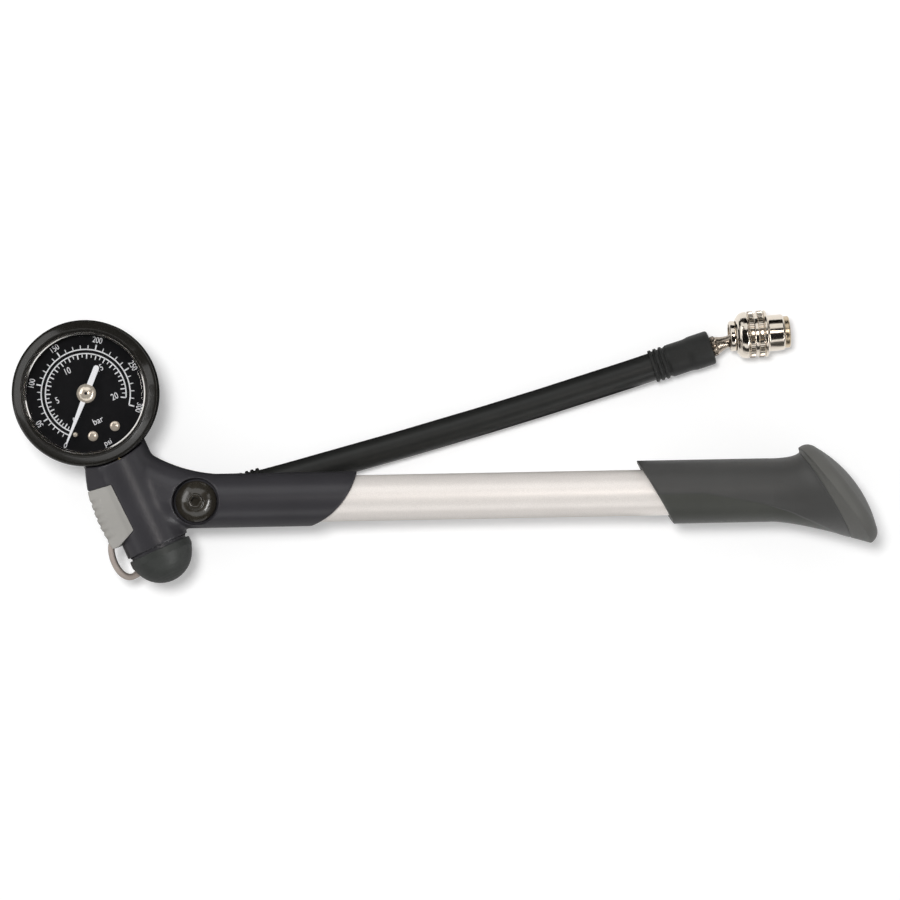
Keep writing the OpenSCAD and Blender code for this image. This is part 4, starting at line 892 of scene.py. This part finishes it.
# The bevel's heights, the radius of the window inside it, and the radius that it stays within
BEVEL = (26.33, 25.91)
BEVEL_R = 16.47
BEVEL_EDGE = 17
# The hole in the middle of the pointer's hub, and the socket in the bolt
HUB_HOLE = 0.44
HUB_FLOOR = 23
BOLT_SOCKET = 1.4
BOLT_FLOOR = 23.2


def dome(low, high, r_out, r_in, steps=10):
    """A round shoulder from (low, r_out) up to (high, r_in)."""
    return [(low + (high - low) * math.sin(a), r_in + (r_out - r_in) * math.cos(a))
            for a in (math.pi / 2 * i / steps for i in range(steps + 1))]


def bezel_profile():
    """Side wall, a coned bead with a round outer edge, a groove, a thin lip, and a bevel round the window."""
    wall = [(21, 19.55), (21, 20.1), (21.4, 20.5), (26.4, 20.5), (27.15, 19.8)]
    bead = [(28.48, 17.95), (28.4, 17.65), (27.75, 17.5), (27.75, 17.3)]
    lip = [(27.95, 17.22), (27.8, 17.08), (BEVEL[0], 17.05), (BEVEL[1], BEVEL_R), (25.74, BEVEL_R),
           (25.74, 19.55)]
    return rounded(wall + bead + lip, 0.45, 6)


def lens_profile():
    """A flat pane with a rounded shoulder at the window's edge."""
    shoulder, bend = [], 1.85
    for i in range(15):
        a = math.radians(48) * i / 14
        shoulder.append((25.7 - bend * (1 - math.cos(a)), 15.55 + bend * math.sin(a)))
    return [(24.5, 0.04), (24.5, 18.7), (25.05, 18.7)] + shoulder[::-1] + [(25.7, 8), (25.7, 0.04)]


def ball_cap(ball_r, ball_z, r_out, r_in, steps):
    """The crown of a ball from one radius in to another."""
    crown = [r_out - (r_out - r_in) * i / steps for i in range(steps + 1)]
    return [(ball_z + math.sqrt(ball_r ** 2 - r * r), r) for r in crown]


def hub_profile():
    """A ball's cap with a small hole in its middle."""
    cap = ball_cap(3.5, 20.45, 2.7, HUB_HOLE + 0.06, 14)
    hole = [(23.85, HUB_HOLE), (HUB_FLOOR, HUB_HOLE - 0.04), (HUB_FLOOR, 0.04)]
    return [(22.4, 0.8), (22.4, 2.7)] + cap + hole


def screw_profile():
    """A shank and a domed head."""
    shank = [(17.6, 0.04), (17.6, 0.8), (21.2, 0.8), (21.2, 1.45)]
    return shank + dome(21.3, 21.9, 1.45, 0.2) + [(21.9, 0.04)]


def stop_profile():
    """A post with a domed end."""
    return [(20, 0.04), (20, 0.7)] + dome(22.5, 23.1, 0.7, 0.1, 6) + [(23.1, 0.03)]


def bolt_profile():
    """Shank, rim, a shallow dome, the collar round the socket, and the socket."""
    rise = [(20.1, 5.78), (22.1, 5.78)] + ball_cap(7.3, 17.75, 5.72, 2.35, 20)
    collar = [(24.85, 2.22), (25.3, 2.1), (25.4, 1.95), (25.4, 1.6), (25.25, BOLT_SOCKET)]
    socket = [(BOLT_FLOOR, BOLT_SOCKET - 0.02), (BOLT_FLOOR, 0.04)]
    return [(0.8, 0.04), (0.8, 3), (20.1, 3)] + rise + collar + socket


def hex_wave(along, radius, angle):
    """Turns the bolt's socket into a hexagon."""
    if along < BOLT_FLOOR or not 1 < radius <= BOLT_SOCKET:
        return 0
    sixth = math.pi / 3
    return radius * (math.cos(sixth / 2) / math.cos(angle % sixth - sixth / 2) - 1)


def add_screws():
    """The two screws that hold the dial, as one piece."""
    verts, faces = [], []
    for turn in SCREW_TURNS:
        more, theirs = lathe(screw_profile(), dial_point(turn, SCREW_R, 0), UP, 48)
        faces += [tuple(k + len(verts) for k in face) for face in theirs]
        verts += more
    make_piece("dial_screw_heads", (verts, faces), "pump_body", "nickel", ["dial_screws"], sharp=TURNED_SHARP)


# Print on the dial

# The print's height just above the dial, and its fit to the photograph, where it isn't quite central
PRINT_Z = 21.22
PRINT_SCALE = 0.987
PRINT_SHIFT = (-0.32, -0.1)
PRINT_THICK = 0.02
# Radii of the two scales' arcs, and how wide their lines are
PSI_ARC, BAR_ARC = 12.7, 11.5
WIDE, THIN = 0.36, 0.26
# The dial's screws and stop post, by their turn from the dial's bottom and their radius
SCREW_TURNS, SCREW_R = (-16.25, 16.25), 12.1
STOP_TURN, STOP_R = 39.5, 12
PSI_MARKS = (0, 50, 100, 150, 200, 250, 300)
# Turn of each mark from the dial's bottom, clockwise, in degrees
PSI_TURN = (46, 81.4, 125.3, 169.7, 216.9, 263.6, 308.8)
PSI_PER_BAR = 14.5
LAST_BAR = 20


def dial_point(turn, r, z=PRINT_Z):
    """A point of the dial, by its turn from the dial's bottom and its radius."""
    angle = -math.pi / 2 + HEAD_TILT - math.radians(turn)
    return Vector((r * math.cos(angle), r * math.sin(angle), z))


def psi_turn(psi):
    """The turn of a pressure's mark."""
    return float(np.interp(psi, PSI_MARKS, PSI_TURN))


# A letter's height in its font size, and how much heavier its strokes are than the font's
LETTER_HEIGHT = 0.72
LETTER_WEIGHT = 0.012


class Print:
    """Flat strokes and lettering gathered into one mesh."""

    def __init__(self):
        self.verts, self.faces = [], []

    def stroke(self, rows):
        """A strip through pairs of points."""
        first = len(self.verts)
        self.verts += [p for pair in rows for p in pair]
        for i in range(len(rows) - 1):
            k = first + 2 * i
            self.faces.append((k, k + 1, k + 3, k + 2))

    def arc(self, start, end, r, width, steps=160):
        """A line round the dial."""
        turns = [start + (end - start) * i / steps for i in range(steps + 1)]
        self.stroke([(dial_point(t, r - width / 2), dial_point(t, r + width / 2)) for t in turns])

    def tick(self, turn, r_in, r_out, width):
        """A line out from the dial's middle, even in width."""
        half = math.degrees(width / 2 / r_in)
        shrink = r_in / r_out
        self.stroke([(dial_point(turn - half, r_in), dial_point(turn + half, r_in)),
                     (dial_point(turn - half * shrink, r_out), dial_point(turn + half * shrink, r_out))])

    def label(self, text, turn, r, height, facing=None, narrow=0.78):
        """Lettering centred on a point of the dial, with its top facing out or towards a turn."""
        data = bpy.data.curves.new("label", "FONT")
        data.body = text
        data.align_x, data.align_y = "CENTER", "CENTER"
        data.size = height / LETTER_HEIGHT
        data.offset = LETTER_WEIGHT
        maker = add_object("label", data)
        graph = bpy.context.evaluated_depsgraph_get()
        mesh = bpy.data.meshes.new_from_object(maker.evaluated_get(graph))
        top = dial_point(turn if facing is None else facing, 1) - PRINT_Z * UP
        right = top.cross(UP)
        place = dial_point(turn, r)
        first = len(self.verts)
        self.verts += [place + v.co.x * narrow * right + v.co.y * top for v in mesh.vertices]
        self.faces += [tuple(first + k for k in face.vertices) for face in mesh.polygons]
        bpy.data.objects.remove(maker)
        bpy.data.curves.remove(data)
        bpy.data.meshes.remove(mesh)


def add_print():
    """The pressure scales, their numbers and their units."""
    ink = Print()
    ink.arc(psi_turn(0), psi_turn(PSI_MARKS[-1]), PSI_ARC, WIDE)
    ink.arc(psi_turn(0), psi_turn(LAST_BAR * PSI_PER_BAR), BAR_ARC, WIDE)
    for psi in range(0, PSI_MARKS[-1] + 1, 10):
        major = psi in PSI_MARKS
        ink.tick(psi_turn(psi), PSI_ARC, 14.3 if major else 13.9, 0.42 if major else THIN)
    for half_bar in range(2 * LAST_BAR + 1):
        whole = half_bar % 2 == 0
        turn = psi_turn(half_bar * PSI_PER_BAR / 2)
        ink.tick(turn, 10 if whole else 10.4, BAR_ARC, WIDE if whole else THIN)
    for psi in PSI_MARKS:
        ink.label(str(psi), psi_turn(psi), 15.6, 1.75)
    for bar in range(0, LAST_BAR + 1, 5):
        ink.label(str(bar), psi_turn(bar * PSI_PER_BAR), 8.3, 1.9, facing=180)
    ink.label("bar", 0, 8.4, 1.9, facing=180, narrow=0.9)
    ink.label("psi", 0, 15.2, 1.7, facing=180, narrow=0.9)
    shift_x, shift_y = PRINT_SHIFT
    verts = [Vector((PRINT_SCALE * v.x + shift_x, PRINT_SCALE * v.y + shift_y, v.z)) for v in ink.verts]
    piece = make_piece("dial_print", (verts, ink.faces), "pump_body", "pointer_white", sharp=60)
    piece.modifiers.new("thick", "SOLIDIFY").thickness = PRINT_THICK * MM


def on_bevel(place):
    return BEVEL_R < place.xy.length < BEVEL_EDGE and BEVEL[1] - 0.1 < place.z < BEVEL[0] + 0.1


# Faces in the hub's hole, which a black finish paints as shade
def in_hub_hole(place):
    return place.xy.length < HUB_HOLE + 0.01 and place.z > HUB_FLOOR - 0.1


add_print()
bezel = add_turned("bezel_ring", bezel_profile(), "pump_body", "bezel_black", "gauge_bezel", sides=192,
                   closed=True)
second_finish(bezel, "window_bevel", on_bevel)
add_turned("lens_pane", lens_profile(), "pump_body", "lens_clear", "gauge_lens", sides=192)
hub = add_turned("pointer_hub_cap", hub_profile(), "needle", "nickel", "pointer_hub")
# The hole's walls and floor take a black finish: painted shade in the hole.
second_finish(hub, "guide_black", in_hub_hole)
add_turned("pivot_bolt_head", bolt_profile(), "pump_body", "bolt_black", "pivot_bolt", PIVOT, wave=hex_wave)
add_turned("stop_post", stop_profile(), "pump_body", "nickel", "pointer_stop_pin",
           dial_point(STOP_TURN, STOP_R, 0), sides=32)
add_screws()


# Stage: floor, cards, lamps and world

# What the part's lamps and cards stand round, and the floor's size and added brightness in the picture
CENTRE = Vector((100, -17, 0))
FLOOR_HALF = 4000
FLOOR_LIFT = 0.25
WORLD_LEVEL = 0.36
# Dark cards that only reflections show, by direction and elevation in degrees: the studio is open on the
# left, in a high band beyond the part, and a little on the right
CARD_R = 1700
CARD_SIDES = 72
CARD_FOOT = ((0, 0.1), (360, 0.1))
HORIZON = ((0, 16), (40, 16), (55, 30), (112, 30), (128, 4), (186, 4), (198, 15), (235, 20), (325, 20),
           (345, 15), (360, 16))
CANOPY = ((0, 14), (45, 16), (62, 62), (115, 62), (135, 28), (225, 28), (250, 42), (315, 42), (345, 14),
          (360, 14))
CARD_PEAK = ((0, 88), (360, 88))
# Flat cards on the floor: stretch along x, height, and each one's stretch along y and finish
FLAT_X = (-600, 158)
FLAT_Z = 0.2
FLAT_CARDS = {"back_card": (-22, 900, "card_black"), "front_card": (-900, -40, "card_grey")}
# Each lamp's place from the centre, its size, its radiance, the rays that don't see it, and its colour
WHITE = (1, 1, 1)
LAMPS = {
    "key": ((-125, 150, 1160), (230, 230), 56, "glossy", WHITE),
    "left_box": ((-621, 238, 437), (560, 220), 2.6, "diffuse", WHITE),
    "right_box": ((517, 211, 332), (220, 180), 1.1, "diffuse", WHITE),
    "right_strip": ((520, -240, 470), (640, 60), 14, "diffuse", WHITE),
    "streak": ((205, 115, 960), (220, 220), 6.5, "diffuse", (1, 0.95, 0.92)),
}


def stage_mesh(name, verts, faces, material):
    """A mesh that isn't part of the object."""
    mesh = bpy.data.meshes.new(name)
    mesh.from_pydata([tuple(Vector(v) * MM) for v in verts], [], faces)
    mesh.materials.append(material)
    thing = add_object(name, mesh)
    return thing


def floor_material():
    """Pale paper, a little brighter in the picture than its light makes it, and clear from below."""
    material = bpy.data.materials.new("floor_white")
    g = Graph(material)
    g.nodes.remove(g.nodes["Principled BSDF"])
    paper = g.mix(g.span(g.noise(40, 3), 0, 1), (0.8, 0.8, 0.8, 1), (0.82, 0.82, 0.82, 1))
    lift = g.join("Math", g.seen_directly(), FLOOR_LIFT, operation="MULTIPLY")
    above = g.join("AddShader", g.join("BsdfDiffuse", paper), g.join("Emission", (1, 1, 1, 1), lift))
    from_below = g.add("NewGeometry").outputs["Backfacing"]
    clear = g.join("BsdfTransparent")
    g.set(g.nodes["Material Output"], Surface=g.join("MixShader", from_below, above, clear))
    return material


def card_ring(spans):
    """The rim of a card, at the elevation that its spans give for each direction."""
    rim = []
    for i in range(CARD_SIDES):
        turn = 360 * i / CARD_SIDES
        up = math.radians(float(np.interp(turn, *zip(*spans))))
        around = math.radians(turn)
        flat = math.cos(up)
        rim.append(CENTRE + CARD_R * Vector((flat * math.cos(around), flat * math.sin(around), math.sin(up))))
    return rim


def card_band(low, high):
    """Verts and faces from one rim up to another."""
    count = len(low)
    return low + high, [(i, (i + 1) % count, (i + 1) % count + count, i + count) for i in range(count)]


def add_card(name, verts, faces, finish):
    """A card that only reflections show."""
    card = stage_mesh(name, verts, faces, FINISH[finish])
    for ray in ("camera", "diffuse", "shadow", "transmission", "volume_scatter"):
        setattr(card, "visible_" + ray, False)


def add_lamp(name, place, size, radiance, unseen, colour):
    """A soft box of that radiance that faces the part, left out of one kind of ray."""
    data = bpy.data.lights.new(name, "AREA")
    data.shape = "RECTANGLE"
    data.size, data.size_y = (s * MM for s in size)
    data.energy = radiance * math.pi * data.size * data.size_y
    data.color = colour
    lamp = add_object(name, data)
    place = CENTRE + Vector(place)
    lamp.location = place * MM
    lamp.rotation_euler = (CENTRE - place).to_track_quat("-Z", "Y").to_euler()
    lamp.visible_camera = False
    setattr(lamp, "visible_" + unseen, False)


def add_world():
    """White where the camera or a reflection sees it, and a dimmer light on the part."""
    world = bpy.data.worlds.new("studio")
    scene.world = world
    g = Graph(world)
    level = g.span(g.seen_directly(), WORLD_LEVEL, 1, 0, 1)
    g.set(g.nodes["Background"], Color=(1, 1, 1, 1), Strength=level)


def rectangle(left, right, near, far, z):
    """Verts and the face of a level rectangle."""
    return [(left, near, z), (right, near, z), (right, far, z), (left, far, z)], [(0, 1, 2, 3)]


def add_stage():
    edges = (-FLOOR_HALF, FLOOR_HALF)
    stage_mesh("floor", *rectangle(*edges, *edges, 0), floor_material())
    add_card("horizon_card", *card_band(card_ring(CARD_FOOT), card_ring(HORIZON)), "card_black")
    verts, faces = card_band(card_ring(CANOPY), card_ring(CARD_PEAK))
    faces.append(tuple(range(CARD_SIDES, 2 * CARD_SIDES)))
    add_card("overhead_card", verts, faces, "card_black")
    for name, (near, far, finish) in FLAT_CARDS.items():
        add_card(name, *rectangle(*FLAT_X, near, far, FLAT_Z), finish)
    for name, settings in LAMPS.items():
        add_lamp(name, *settings)
    add_world()


add_stage()
